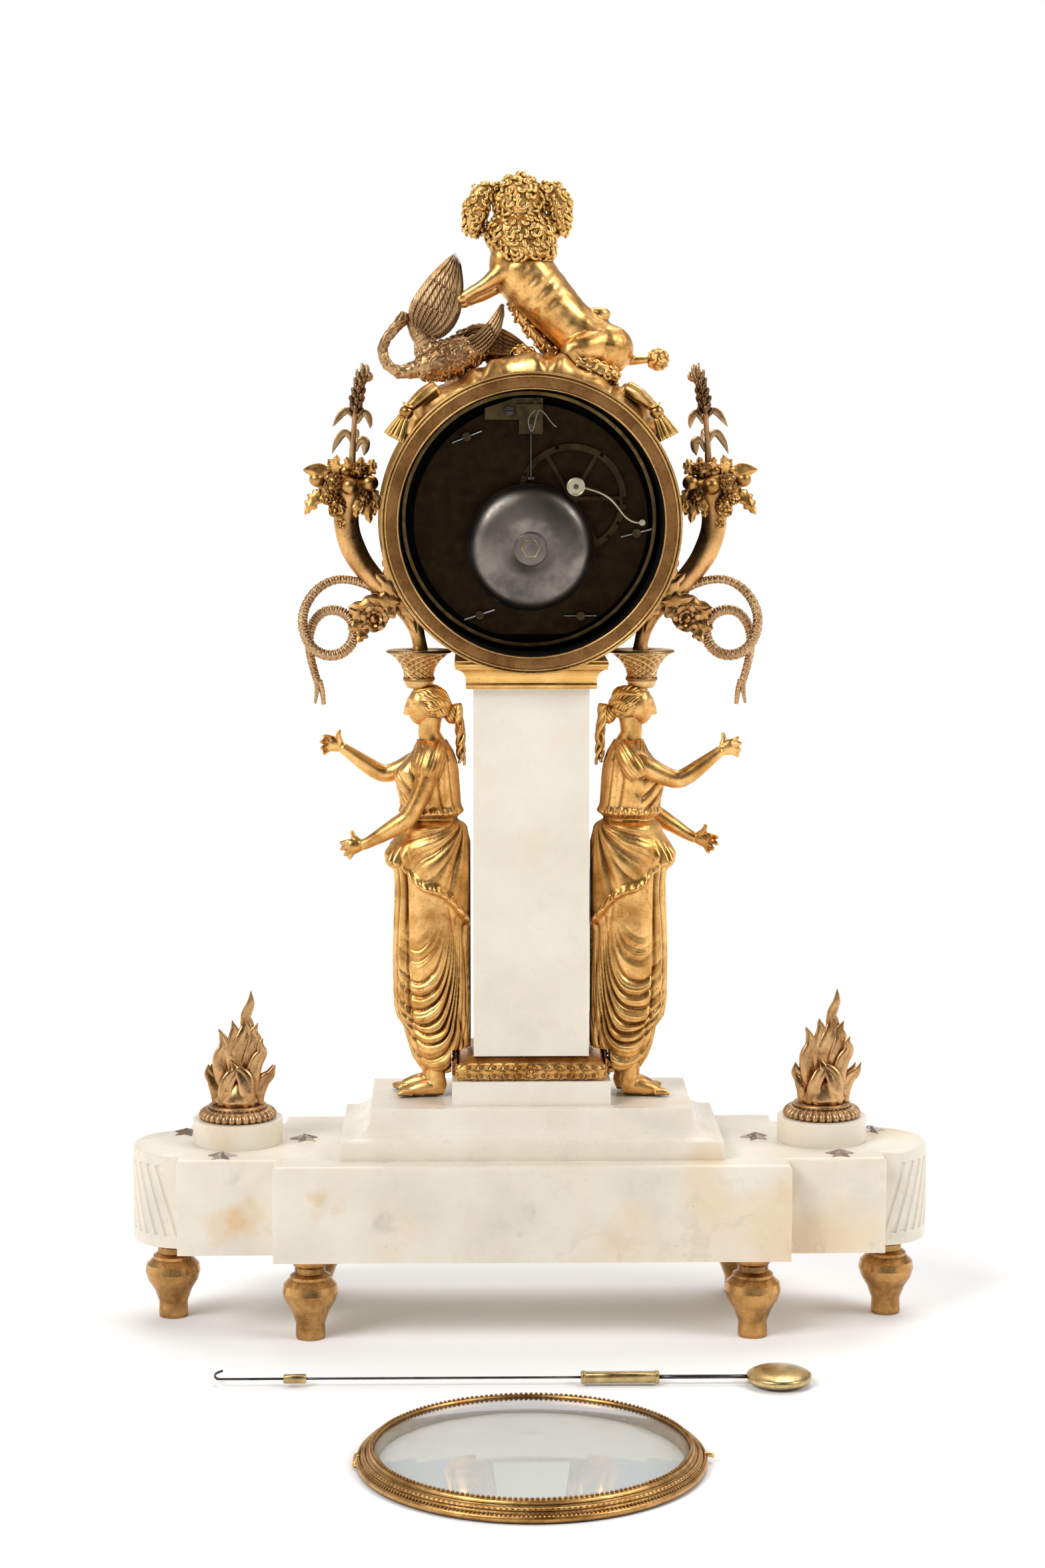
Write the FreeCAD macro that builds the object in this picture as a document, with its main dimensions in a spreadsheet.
"""A figural mantel clock in white marble and gilt bronze, seen at rest as photographed from behind.

The frame has +Z up and its origin on the table under the middle of the clock. The dial faces +Y, so the
open back of the drum faces -Y. All lengths are millimetres.
"""
import FreeCAD
import Part
import Sketcher
import math
import os
from FreeCAD import Matrix, Placement, Rotation, Vector

doc = FreeCAD.newDocument("figural_mantel_clock")
sheet = doc.addObject("Spreadsheet::Sheet", "Sizes")

SIZES = {
    # marble base and feet
    "foot_height": 43.0,
    "foot_stem_radius": 7.6,
    "foot_bulb_radius": 14.3,
    "foot_ring_radius": 10.3,
    "foot_collar_radius": 9.6,
    "foot_stud_radius": 2.4,
    "foot_stud_length": 14.0,
    "foot_inner_x": 112.6,
    "foot_inner_y": 40.7,
    "foot_outer_x": 186.0,
    "base_height": 49.3,
    "base_block_half_x": 130.3,
    "base_block_half_y": 58.9,
    "base_wing_half_x": 179.7,
    "base_wing_half_y": 43.0,
    "base_end_radius": 29.0,
    "base_end_x": 177.0,
    "base_edge_round": 2.2,
    "flute_radius": 1.9,
    "flute_margin": 6.5,
    "flute_depth": 0.9,
    # stepped pedestal and plinth
    "pedestal_slab_half_x": 96.8,
    "pedestal_slab_half_y": 46.0,
    "pedestal_slab_height": 9.3,
    "pedestal_top_half_x": 81.8,
    "pedestal_top_half_y": 37.2,
    "pedestal_height": 24.9,
    "pedestal_lip_height": 5.2,
    "plinth_half_x": 40.3,
    "plinth_half_y": 31.5,
    "plinth_height": 12.5,
    "laurel_half_x": 39.0,
    "laurel_half_y": 30.2,
    "laurel_height": 12.4,
    "laurel_round": 5.0,
    # pillar and capital
    "pillar_half_x": 29.3,
    "pillar_half_y": 27.0,
    "pillar_height": 187.6,
    "well_half_x": 22.0,
    "well_back_y": 22.0,
    "well_front_y": 20.0,
    "capital_foot_half_x": 32.6,
    "capital_foot_half_y": 30.0,
    "capital_foot_height": 3.6,
    "capital_top_half_x": 38.2,
    "capital_top_half_y": 33.5,
    "capital_top_height": 4.4,
    "capital_height": 14.4,
    "slot_half_x": 17.2,
    "slot_half_y": 5.4,
    # tie rods
    "tie_rod_radius": 2.0,
    "tie_hole_radius": 2.5,
    "tie_rod_x": 26.0,
    "tie_rod_y": 24.0,
    "tie_nut_radius": 4.4,
    "tie_nut_height": 3.2,
    "tie_sink": 6.0,
    # marble discs, gadrooned rings, flames and stars
    "disc_x": 151.5,
    "disc_radius": 23.2,
    "disc_height": 12.6,
    "gadroon_radius": 20.2,
    "gadroon_lip_radius": 14.8,
    "gadroon_height": 7.4,
    "gadroon_bore": 3.0,
    "flame_height": 60.0,
    "flame_radius": 12.6,
    "flame_peg_radius": 2.9,
    "star_radius": 7.8,
    "star_inner_radius": 3.3,
    "star_height": 2.6,
    "star_pin_radius": 0.8,
    "star_pin_length": 6.0,
    "star_reach": 35.0,
    # drum
    "drum_z": 412.6,
    "case_radius": 68.0,
    "case_wall": 2.0,
    "case_half_length": 34.0,
    "saddle_half_x": 29.0,
    "saddle_half_y": 26.0,
    "ring_radius": 75.0,
    "ring_opening_radius": 66.0,
    "ring_thickness": 4.2,
    "ring_bead": 1.1,
    "front_ring_radius": 78.4,
    "front_ring_thickness": 4.0,
    "front_ring_bore": 62.0,
    "spigot_length": 1.0,
    "spigot_clearance": 0.1,
    # movement plates
    "plate_radius": 59.0,
    "plate_flat": 56.5,
    "plate_thickness": 2.5,
    "back_plate_y": -10.0,
    "plate_gap": 32.0,
    "pillar_post_radius": 3.6,
    "pillar_post_neck": 2.2,
    "pillar_post_reach": 53.5,
    "post_tail": 3.2,
    "pin_radius": 0.7,
    "pin_half_length": 8.0,
    "pivot_radius": 0.7,
    "fine_arbor_radius": 0.8,
    "arbor_radius": 1.2,
    "running_clearance": 0.05,
    # trains
    "barrel_x": 26.0,
    "barrel_z": 14.0,
    "barrel_radius": 20.5,
    "barrel_length": 15.5,
    "barrel_arbor_radius": 2.6,
    "barrel_module": 0.55,
    "wheel_thickness": 1.2,
    "great_wheel_thickness": 2.0,
    "pinion_length": 3.2,
    "winding_square": 4.0,
    "inner_module": 0.45,
    "centre_module": 0.38,
    "third_module": 0.4,
    "escape_x": 0.0,
    "escape_z": 28.5,
    "escape_radius": 13.0,
    "escape_tooth": 1.5,
    "pallet_z": 48.0,
    "pallet_reach": 9.8,
    "count_x": 20.5,
    "count_z": 11.8,
    "count_radius": 27.5,
    "count_rim": 3.2,
    "count_module": 0.36,
    "pin_wheel_module": 0.36,
    "lift_pin_radius": 0.6,
    "lift_pin_circle": 8.0,
    "lift_pin_length": 4.0,
    "locking_module": 0.32,
    "fly_half_width": 7.0,
    "fly_length": 12.0,
    "fly_blade": 0.8,
    # motion work, dial and hands
    "motion_module": 0.5,
    "hour_module": 0.4,
    "dial_radius": 64.0,
    "dial_thickness": 1.4,
    "dial_back_y": 31.3,
    "dial_hole_radius": 3.4,
    "dial_foot_radius": 1.5,
    "dial_foot_reach": 50.0,
    "winding_hole_radius": 3.2,
    "cannon_radius": 1.9,
    "hour_pipe_radius": 2.6,
    "hour_hand_y": 33.7,
    "minute_hand_y": 35.4,
    "hand_thickness": 0.7,
    "hour_hand_length": 36.0,
    "minute_hand_length": 54.0,
    "hand_boss_radius": 4.0,
    "hand_width": 3.2,
    # bell, hammer, suspension
    "bell_x": -0.5,
    "bell_z": -12.5,
    "bell_radius": 32.0,
    "bell_wall": 1.6,
    "bell_depth": 14.0,
    "bell_mouth_y": -17.6,
    "bell_washer_radius": 7.4,
    "bell_nut_radius": 4.2,
    "stand_radius": 1.6,
    "stand_foot_x": -20.0,
    "stand_foot_radius": 4.2,
    "hammer_x": 55.5,
    "hammer_z": 0.0,
    "hammer_head_radius": 4.6,
    "hammer_head_length": 8.0,
    "hammer_head_x": 22.2,
    "hammer_head_z": 18.0,
    "hammer_rod_radius": 0.7,
    "hammer_rod_y": -23.0,
    "hammer_tail_y": 6.0,
    "hammer_tail_length": 24.6,
    "cock_thickness": 1.5,
    "cock_y": -13.4,
    "cock_screw_radius": 2.4,
    "pendulum_y": -15.6,
    "silk_radius": 0.3,
    "silk_top_z": 57.0,
    "silk_drop": 11.5,
    "crutch_radius": 0.6,
    "crutch_drop": 26.0,
    # caryatid figures and what they carry
    "figure_height": 213.7,
    "figure_depth": 36.0,
    "figure_back_x": 30.6,
    "arm_radius": 4.0,
    "basket_x": 56.8,
    "basket_height": 15.4,
    "basket_top_radius": 16.6,
    "basket_foot_radius": 7.6,
    "basket_rim": 1.6,
    "stem_radius": 3.3,
    "horn_mouth_radius": 9.5,
    "fruit_x": 94.5,
    "fruit_z": 429.0,
    "fruit_radius": 18.0,
    "wheat_top_z": 492.0,
    "wheat_radius": 6.5,
    "snake_radius": 2.3,
    "snake_loop_radius": 11.0,
    # drapery, tassels, swans and poodle
    "drape_thickness": 11.0,
    "drape_half_length": 25.0,
    "drape_half_angle": 52.0,
    "drape_gap": 0.3,
    "tassel_radius": 5.2,
    "tassel_length": 18.0,
    "swan_z": 497.0,
    "poodle_z": 588.0,
    # bezel and pendulum, lying on the table behind the clock
    "bezel_x": -4.0,
    "bezel_y": -235.3,
    "bezel_radius": 78.8,
    "bezel_bore": 68.5,
    "bezel_glass_radius": 70.6,
    "bezel_height": 9.6,
    "bezel_rim_height": 3.6,
    "bezel_crest_radius": 71.6,
    "glass_thickness": 1.6,
    "glass_rise": 6.0,
    "glass_seat_z": 6.2,
    "hinge_radius": 1.6,
    "hinge_length": 12.0,
    "hook_radius": 1.2,
    "pendulum_lie_y": -123.0,
    "bob_x": 118.0,
    "bob_radius": 15.7,
    "bob_thickness": 8.0,
    "bob_edge_height": 2.4,
    "pendulum_length": 270.0,
    "rod_radius": 1.0,
    "wire_radius": 0.55,
    "long_sleeve_radius": 2.5,
    "long_sleeve_length": 36.6,
    "long_sleeve_x": 41.0,
    "short_sleeve_radius": 2.0,
    "short_sleeve_length": 11.0,
    "short_sleeve_x": -116.0,
    "hook_size": 6.0,
    # shared small values
    "overrun": 5.0,
    "seat_gap": 0.3,
}


class Size(float):
    """A length that also carries the sheet formula that it comes from."""

    def __new__(cls, number, text):
        made = super().__new__(cls, number)
        made.text = text
        return made

    def joined(self, other, sign, number, turned=False):
        mine, theirs = self.text, getattr(other, "text", repr(float(other)))
        first, second = (theirs, mine) if turned else (mine, theirs)
        return Size(number, f"({first} {sign} {second})")

    def __add__(self, other):
        return self.joined(other, "+", float(self) + float(other))

    def __radd__(self, other):
        return self.joined(other, "+", float(self) + float(other), True)

    def __sub__(self, other):
        return self.joined(other, "-", float(self) - float(other))

    def __rsub__(self, other):
        return self.joined(other, "-", float(other) - float(self), True)

    def __mul__(self, other):
        return self.joined(other, "*", float(self) * float(other))

    def __rmul__(self, other):
        return self.joined(other, "*", float(self) * float(other), True)

    def __truediv__(self, other):
        return self.joined(other, "/", float(self) / float(other))

    def __neg__(self):
        return Size(-float(self), f"(-1 * {self.text})")


class Sheet:
    """The driving dimensions, read back from the sheet by name."""


def fill_sheet():
    for row, (name, number) in enumerate(SIZES.items(), start=1):
        sheet.set(f"A{row}", name)
        sheet.set(f"B{row}", str(number))
        sheet.setAlias(f"B{row}", name)
    doc.recompute()
    for name in SIZES:
        setattr(Sheet, name, Size(float(sheet.get(name)), f"Sizes.{name}"))


fill_sheet()
d = Sheet


# Helpers that bind a value to its sheet formula.
def bind(thing, path, length):
    """Set one property, by formula where the length has one."""
    if isinstance(length, Size):
        thing.setExpression(path, length.text)
    elif "." not in path:
        setattr(thing, path, length)


def place(thing, x=0.0, y=0.0, z=0.0, turn=None):
    """Put a thing at x, y, z, with a rotation where one is given."""
    thing.Placement = Placement(Vector(x, y, z), turn or Rotation())
    for path, length in (("x", x), ("y", y), ("z", z)):
        bind(thing, f"Placement.Base.{path}", length)
    return thing


ALONG_Y = Rotation(Vector(1, 0, 0), -90)
ALONG_X = Rotation(Vector(0, 1, 0), 90)


def sketch_on(body, role, name):
    """A sketch on one of a body's own planes."""
    sketch = body.newObject("Sketcher::SketchObject", name)
    planes = [plane for plane in body.Origin.OriginFeatures if plane.Role == role]
    sketch.AttachmentSupport = (planes[0], [""])
    sketch.MapMode = "FlatFace"
    return sketch


def pin_point(sketch, edge, point, x, y):
    """Fix a point of an edge at x, y, each by formula where it has one."""
    for kind, axis, length in (("DistanceX", -2, x), ("DistanceY", -1, y)):
        if float(length) == 0:
            sketch.addConstraint(Sketcher.Constraint("PointOnObject", edge, point, axis))
            continue
        made = sketch.addConstraint(Sketcher.Constraint(kind, -1, 1, edge, point, float(length)))
        bind(sketch, f"Constraints[{made}]", length)


def add_outline(sketch, points):
    """A closed outline of straight sides through the points."""
    first = sketch.GeometryCount
    spots = [Vector(float(x), float(y), 0) for x, y in points]
    for index, spot in enumerate(spots):
        sketch.addGeometry(Part.LineSegment(spot, spots[(index + 1) % len(spots)]))
    for index, (x, y) in enumerate(points):
        after = first + (index + 1) % len(points)
        sketch.addConstraint(Sketcher.Constraint("Coincident", first + index, 2, after, 1))
        pin_point(sketch, first + index, 1, x, y)


def add_circle(sketch, radius, x=0.0, y=0.0):
    """A circle with its radius and centre bound."""
    edge = sketch.addGeometry(Part.Circle(Vector(float(x), float(y), 0), Vector(0, 0, 1), float(radius)))
    made = sketch.addConstraint(Sketcher.Constraint("Radius", edge, float(radius)))
    bind(sketch, f"Constraints[{made}]", radius)
    pin_point(sketch, edge, 3, x, y)


def new_body(label):
    body = doc.addObject("PartDesign::Body", label)
    body.Label = label
    return body


def turned(label, outline):
    """A piece turned about the body's Z axis from an outline of (radius, height) points."""
    body = new_body(label)
    sketch = sketch_on(body, "XZ_Plane", label + "_outline")
    add_outline(sketch, outline)
    turn = body.newObject("PartDesign::Revolution", label + "_turned")
    turn.Profile = sketch
    turn.ReferenceAxis = (sketch, ["V_Axis"])
    turn.Angle = 360.0
    body.Tip = turn
    return body


def slab(label, height, outline=None, circles=(), role="XY_Plane"):
    """A flat piece: an outline, or a disc, with round holes, raised by height."""
    body = new_body(label)
    sketch = sketch_on(body, role, label + "_outline")
    if outline:
        add_outline(sketch, outline)
    for radius, x, y in circles:
        add_circle(sketch, radius, x, y)
    pad = body.newObject("PartDesign::Pad", label + "_pad")
    pad.Profile = sketch
    bind(pad, "Length", height)
    body.Tip = pad
    return body


def pocket(body, label, role, depth_type="ThroughAll", outline=None, circles=()):
    """Cut an outline or round holes right through a body, both ways from the plane."""
    sketch = sketch_on(body, role, label + "_outline")
    if outline:
        add_outline(sketch, outline)
    for radius, x, y in circles:
        add_circle(sketch, radius, x, y)
    cut = body.newObject("PartDesign::Pocket", label)
    cut.Profile = sketch
    cut.Type = depth_type
    cut.Midplane = True
    body.Tip = cut
    return cut


def box(name, low, high):
    """A Part box between two corners."""
    made = doc.addObject("Part::Box", name)
    for path, near, far in zip(("Length", "Width", "Height"), low, high):
        bind(made, path, far - near)
    return place(made, *low)


def centred_box(name, half_x, half_y, low_z, height):
    return box(name, (-half_x, -half_y, low_z), (half_x, half_y, low_z + height))


def rod(name, radius, length, x, y, z, turn=None):
    """A round rod of Part::Cylinder from x, y, z."""
    made = doc.addObject("Part::Cylinder", name)
    bind(made, "Radius", radius)
    bind(made, "Height", length)
    return place(made, x, y, z, turn)


def rod_y(name, radius, low_y, high_y, x=0.0, z=0.0):
    """A round rod along Y between two places."""
    return rod(name, radius, high_y - low_y, x, low_y, z, ALONG_Y)


def fused(label, pieces):
    made = doc.addObject("Part::MultiFuse", label)
    made.Shapes = pieces
    made.Label = label
    return made


def cut_by(label, base, tools):
    """The base with every tool cut away."""
    tool = tools[0] if len(tools) == 1 else fused(label + "_tools", tools)
    made = doc.addObject("Part::Cut", label)
    made.Base = base
    made.Tool = tool
    made.Label = label
    return made


def grouped(label, pieces):
    """Separate solids kept in one piece of the list."""
    made = doc.addObject("Part::Compound", label)
    made.Links = pieces
    made.Label = label
    return made


def feature(label, shape):
    """A piece whose shape is worked out from the sheet's sizes."""
    made = doc.addObject("Part::Feature", label)
    made.Shape = shape
    made.Label = label
    return made


def shape_of(thing):
    """A thing's shape in the clock's frame."""
    doc.recompute()
    return thing.Shape.copy()


# Helpers for cast ornament.
def ring_at(centre, along, radius, flat=1.0, side=None):
    """A circle, or an ellipse flattened across side, square to the direction along."""
    turn = Rotation(side or Vector(0, 0, 0), Vector(0, 0, 0), along, "ZXY") if side else Rotation(
        Vector(0, 0, 1), along)
    if flat == 1.0:
        edge = Part.Circle(Vector(0, 0, 0), Vector(0, 0, 1), radius).toShape()
    elif flat < 1.0:
        edge = Part.Ellipse(Vector(0, 0, 0), radius, radius * flat).toShape()
    else:
        edge = Part.Ellipse(Vector(0, 0, 0), radius * flat, radius).toShape()
    wire = Part.Wire([edge])
    wire.Placement = Placement(centre, turn)
    return wire


def limb(points, radii):
    """A smooth round limb through points, with a radius at each."""
    wires = []
    for index, (point, radius) in enumerate(zip(points, radii)):
        before, after = points[max(index - 1, 0)], points[min(index + 1, len(points) - 1)]
        wires.append(ring_at(point, (after - before).normalize(), radius))
    return Part.makeLoft(wires, True, True)


def tube_along(points, radius):
    """A round tube of one radius along a smooth curve."""
    curve = Part.BSplineCurve()
    curve.interpolate(points)
    path = Part.Wire([curve.toShape()])
    start = curve.tangent(curve.FirstParameter)[0]
    return path.makePipeShell([ring_at(points[0], start, radius)], True, False)


def egg(centre, half_x, half_y, half_z, turn=None):
    """An ellipsoid with the given half sizes."""
    stretch = Matrix()
    stretch.scale(half_x, half_y, half_z)
    ball = Part.makeSphere(1.0).transformGeometry(stretch)
    ball.Placement = Placement(centre, turn or Rotation())
    return ball


def joined(shapes):
    """Overlapping shapes fused into one solid."""
    whole = shapes[0].multiFuse(shapes[1:])
    clean = whole.copy().removeSplitter()
    return clean if clean.isValid() else whole


def mirrored_x(shape):
    return shape.mirror(Vector(0, 0, 0), Vector(1, 0, 0))


def turned_round(shape):
    """The same casting on the clock's other side, turned half a turn about Z."""
    other = shape.copy()
    other.rotate(Vector(0, 0, 0), Vector(0, 0, 1), 180)
    return other


pieces = []


def keep(thing):
    """Put a finished piece on the list that is written out."""
    pieces.append(thing)
    return thing


# Levels that several pieces share.
base_top = d.foot_height + d.base_height
pedestal_top = base_top + d.pedestal_height
plinth_top = pedestal_top + d.plinth_height
pillar_foot = plinth_top + d.laurel_height
capital_foot = pillar_foot + d.pillar_height
capital_top = capital_foot + d.capital_height
saddle_top = d.drum_z - d.case_radius
slot_y = d.pendulum_y


# The marble base: a block, two wings and two round ends, with slanting flutes.
def flute(side, angle):
    """One slanting flute on a round end, as a tube on a helix about the end's axis."""
    height = d.base_height - 2 * d.flute_margin
    slant_share = 0.32
    turns = slant_share * height / (2 * math.pi * d.base_end_radius)
    lift = d.flute_radius - d.flute_depth
    spine = Part.makeHelix(float(height) / float(turns), float(height), float(d.base_end_radius + lift))
    start = Vector(float(d.base_end_radius + lift), 0, 0)
    along = Vector(0, float(turns) * 2 * math.pi * float(d.base_end_radius), float(height)).normalize()
    shape = Part.Wire(spine.Edges).makePipeShell([ring_at(start, along, float(d.flute_radius))], True, True)
    shape.rotate(Vector(0, 0, 0), Vector(0, 0, 1), angle)
    shape.translate(Vector(float(d.base_end_x), 0, float(d.foot_height + d.flute_margin)))
    return shape if side > 0 else mirrored_x(shape)


def feet_places():
    inner = [(x * d.foot_inner_x, y * d.foot_inner_y) for x in (-1, 1) for y in (-1, 1)]
    outer = [(-d.foot_outer_x, 0.0), (1 * d.foot_outer_x, 0.0)]
    return inner + outer


def make_base():
    blocks = [
        centred_box("base_block", d.base_block_half_x, d.base_block_half_y, d.foot_height, d.base_height),
        centred_box("base_wings", d.base_wing_half_x, d.base_wing_half_y, d.foot_height, d.base_height),
    ]
    for name, x in (("base_end_left", -d.base_end_x), ("base_end_right", 1 * d.base_end_x)):
        blocks.append(rod(name, d.base_end_radius, d.base_height, x, 0.0, 1 * d.foot_height))
    stone = fused("base_stone", blocks)
    holes = []
    for index, (x, y) in enumerate(feet_places()):
        holes.append(rod(f"stud_hole_{index}", d.foot_stud_radius + d.running_clearance,
                         d.foot_stud_length + d.seat_gap, x, y, 1 * d.foot_height))
    for index, (x, y) in enumerate(tie_places()):
        holes.append(rod(f"base_tie_hole_{index}", d.tie_hole_radius, d.base_height, x, y, 1 * d.foot_height))
        holes.append(rod(f"base_tie_sink_{index}", d.tie_nut_radius + d.seat_gap, d.tie_sink, x, y,
                         1 * d.foot_height))
    drilled = cut_by("base_drilled", stone, holes)
    rounded = doc.addObject("Part::Fillet", "base_rounded")
    rounded.Base = drilled
    top = shape_of(drilled)
    level = float(base_top)
    edges = []
    for index, edge in enumerate(top.Edges, start=1):
        at_top = all(abs(v.Z - level) < 1e-6 for v in edge.Vertexes)
        hole = isinstance(edge.Curve, Part.Circle) and edge.Curve.Radius < float(d.tie_nut_radius)
        if at_top and not hole:
            edges.append((index, float(d.base_edge_round), float(d.base_edge_round)))
    rounded.Edges = edges
    body = shape_of(rounded)
    flutes = [flute(side, angle) for side in (-1, 1) for angle in range(-84, 80, 12)]
    keep(feature("marble_base", body.cut(Part.makeCompound(flutes))))


def make_feet():
    stem, bulb, ring, collar = d.foot_stem_radius, d.foot_bulb_radius, d.foot_ring_radius, d.foot_collar_radius
    tall = d.foot_height
    outline = [
        (0.0, 0.0), (0.97 * stem, 0.0), (1.0 * stem, 0.03 * tall), (0.97 * stem, 0.18 * tall),
        (0.68 * bulb, 0.33 * tall), (0.9 * bulb, 0.45 * tall), (1.0 * bulb, 0.56 * tall),
        (0.95 * bulb, 0.65 * tall), (0.78 * bulb, 0.705 * tall), (1.0 * ring, 0.72 * tall),
        (1.0 * ring, 0.755 * tall), (0.76 * ring, 0.79 * tall), (0.76 * ring, 0.86 * tall),
        (0.9 * collar, 0.885 * tall), (1.0 * collar, 0.93 * tall), (1.0 * collar, 1.0 * tall),
        (1 * d.foot_stud_radius, 1.0 * tall), (1 * d.foot_stud_radius, tall + d.foot_stud_length),
        (0.0, tall + d.foot_stud_length),
    ]
    foot = turned("foot_pattern", outline)
    first = shape_of(foot)
    copies = []
    for x, y in feet_places():
        one = first.copy()
        one.translate(Vector(float(x), float(y), 0))
        copies.append(one)
    keep(feature("feet", Part.makeCompound(copies)))


# The pedestal, plinth, laurel moulding, pillar and capital.
def tie_places():
    return [(-d.tie_rod_x, 1 * d.tie_rod_y), (1 * d.tie_rod_x, 1 * d.tie_rod_y)]


def drill_for_ties(body, label):
    """The two holes that the tie rods pass through."""
    circles = [(d.tie_hole_radius, x, y) for x, y in tie_places()]
    pocket(body, label + "_tie_holes", "XY_Plane", circles=circles)


def coved(label, foot_half, top_half, levels):
    """A cove profile across one direction: (half width, height) points up one side, and its mirror."""
    slab_height, lip_low, top = levels
    drop = lip_low - slab_height
    run = foot_half - top_half
    steps = 6
    side = [(foot_half, 0 * top), (foot_half, slab_height)]
    for step in range(1, steps + 1):
        angle = math.pi / 2 * step / steps
        side.append((foot_half - run * math.sin(angle), slab_height + drop * (1 - math.cos(angle))))
    side.append((top_half, 1 * top))
    return side + [(-x, z) for x, z in reversed(side)]


def make_pedestal():
    levels = (d.pedestal_slab_height, d.pedestal_height - d.pedestal_lip_height, d.pedestal_height)
    across = slab("pedestal_across", 2 * d.pedestal_slab_half_y,
                  outline=coved("x", d.pedestal_slab_half_x, d.pedestal_top_half_x, levels), role="XZ_Plane")
    along = slab("pedestal_along", 2 * d.pedestal_slab_half_x,
                 outline=coved("y", d.pedestal_slab_half_y, d.pedestal_top_half_y, levels), role="YZ_Plane")
    place(across, 0.0, 1 * d.pedestal_slab_half_y, base_top)
    place(along, -d.pedestal_slab_half_x, 0.0, base_top)
    common = doc.addObject("Part::MultiCommon", "pedestal_stone")
    common.Shapes = [across, along]
    ties = [rod(f"pedestal_tie_{index}", d.tie_hole_radius, d.pedestal_height, x, y, base_top)
            for index, (x, y) in enumerate(tie_places())]
    keep(cut_by("stepped_pedestal", common, ties))


def make_plinth():
    block = centred_box("plinth_stone", d.plinth_half_x, d.plinth_half_y, pedestal_top, d.plinth_height)
    ties = [rod(f"plinth_tie_{index}", d.tie_hole_radius, d.plinth_height, x, y, pedestal_top)
            for index, (x, y) in enumerate(tie_places())]
    keep(cut_by("plinth_block", block, ties))


def make_laurel():
    block = centred_box("laurel_block", d.laurel_half_x, d.laurel_half_y, plinth_top, d.laurel_height)
    rounded = doc.addObject("Part::Fillet", "laurel_rounded")
    rounded.Base = block
    level = float(pillar_foot)
    rounded.Edges = [
        (index, float(d.laurel_round), float(d.laurel_round))
        for index, edge in enumerate(shape_of(block).Edges, start=1)
        if all(abs(v.Z - level) < 1e-6 for v in edge.Vertexes)
    ]
    ties = [rod(f"laurel_tie_{index}", d.tie_hole_radius, d.laurel_height, x, y, plinth_top)
            for index, (x, y) in enumerate(tie_places())]
    keep(cut_by("laurel_moulding", rounded, ties))


def make_pillar():
    stone = centred_box("pillar_stone", d.pillar_half_x, d.pillar_half_y, pillar_foot, d.pillar_height)
    well = box("pillar_well", (-d.well_half_x, -d.well_back_y, pillar_foot),
               (1 * d.well_half_x, 1 * d.well_front_y, capital_foot))
    ties = [rod(f"pillar_tie_{index}", d.tie_hole_radius, d.pillar_height, x, y, pillar_foot)
            for index, (x, y) in enumerate(tie_places())]
    keep(cut_by("pillar", stone, [well] + ties))


def slot_box(name, low_z, high_z):
    """The slot that the pendulum hangs through."""
    return box(name, (-d.slot_half_x, slot_y - d.slot_half_y, low_z),
               (1 * d.slot_half_x, slot_y + d.slot_half_y, high_z))


def make_capital():
    levels = (d.capital_top_height, d.capital_height - d.capital_foot_height, d.capital_height)
    across = slab("capital_across", 2 * d.capital_top_half_y,
                  outline=coved("x", d.capital_top_half_x, d.capital_foot_half_x, levels), role="XZ_Plane")
    along = slab("capital_along", 2 * d.capital_top_half_x,
                 outline=coved("y", d.capital_top_half_y, d.capital_foot_half_y, levels), role="YZ_Plane")
    upside_down = Rotation(Vector(0, 1, 0), 180)
    place(across, 0.0, 1 * d.capital_top_half_y, capital_top, upside_down)
    place(along, 1 * d.capital_top_half_x, 0.0, capital_top, upside_down)
    common = doc.addObject("Part::MultiCommon", "capital_block")
    common.Shapes = [across, along]
    tools = [slot_box("capital_slot", capital_foot, capital_top)]
    tools += [rod(f"capital_tie_{index}", d.tie_hole_radius, d.capital_height, x, y, capital_foot)
              for index, (x, y) in enumerate(tie_places())]
    keep(cut_by("capital", common, tools))


def make_tie_rods():
    """Two rods from the base's underside to nuts on the drum's saddle, and their lower nuts."""
    low = d.foot_height + d.tie_sink - d.tie_nut_height
    high = saddle_top + d.tie_nut_height
    rods = []
    for index, (x, y) in enumerate(tie_places()):
        shaft = rod(f"tie_shaft_{index}", d.tie_rod_radius, high - low, x, y, low)
        nut = rod(f"tie_lower_nut_{index}", d.tie_nut_radius, d.tie_nut_height, x, y, low)
        rods.append(fused(f"tie_rod_{index}", [shaft, nut]))
    keep(grouped("tie_rods", rods))


make_base()
make_feet()
make_pedestal()
make_plinth()
make_laurel()
make_pillar()
make_capital()
make_tie_rods()


# The marble discs on the wings, with their gadrooned rings, flames and stars.
def on_both_sides(label, piece, x):
    """Two copies of a piece, at x on either side, in one group of separate solids."""
    copies = []
    for side, name in ((-1, "left"), (1, "right")):
        one = piece.copy()
        one.translate(Vector(side * float(x), 0, 0))
        copies.append(one)
    return keep(feature(label, Part.makeCompound(copies)))


def make_discs():
    disc = slab("disc_pattern", 1 * d.disc_height, circles=[(d.disc_radius, 0.0, 0.0)])
    place(disc, 0.0, 0.0, base_top)
    on_both_sides("marble_discs", shape_of(disc), d.disc_x)


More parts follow.
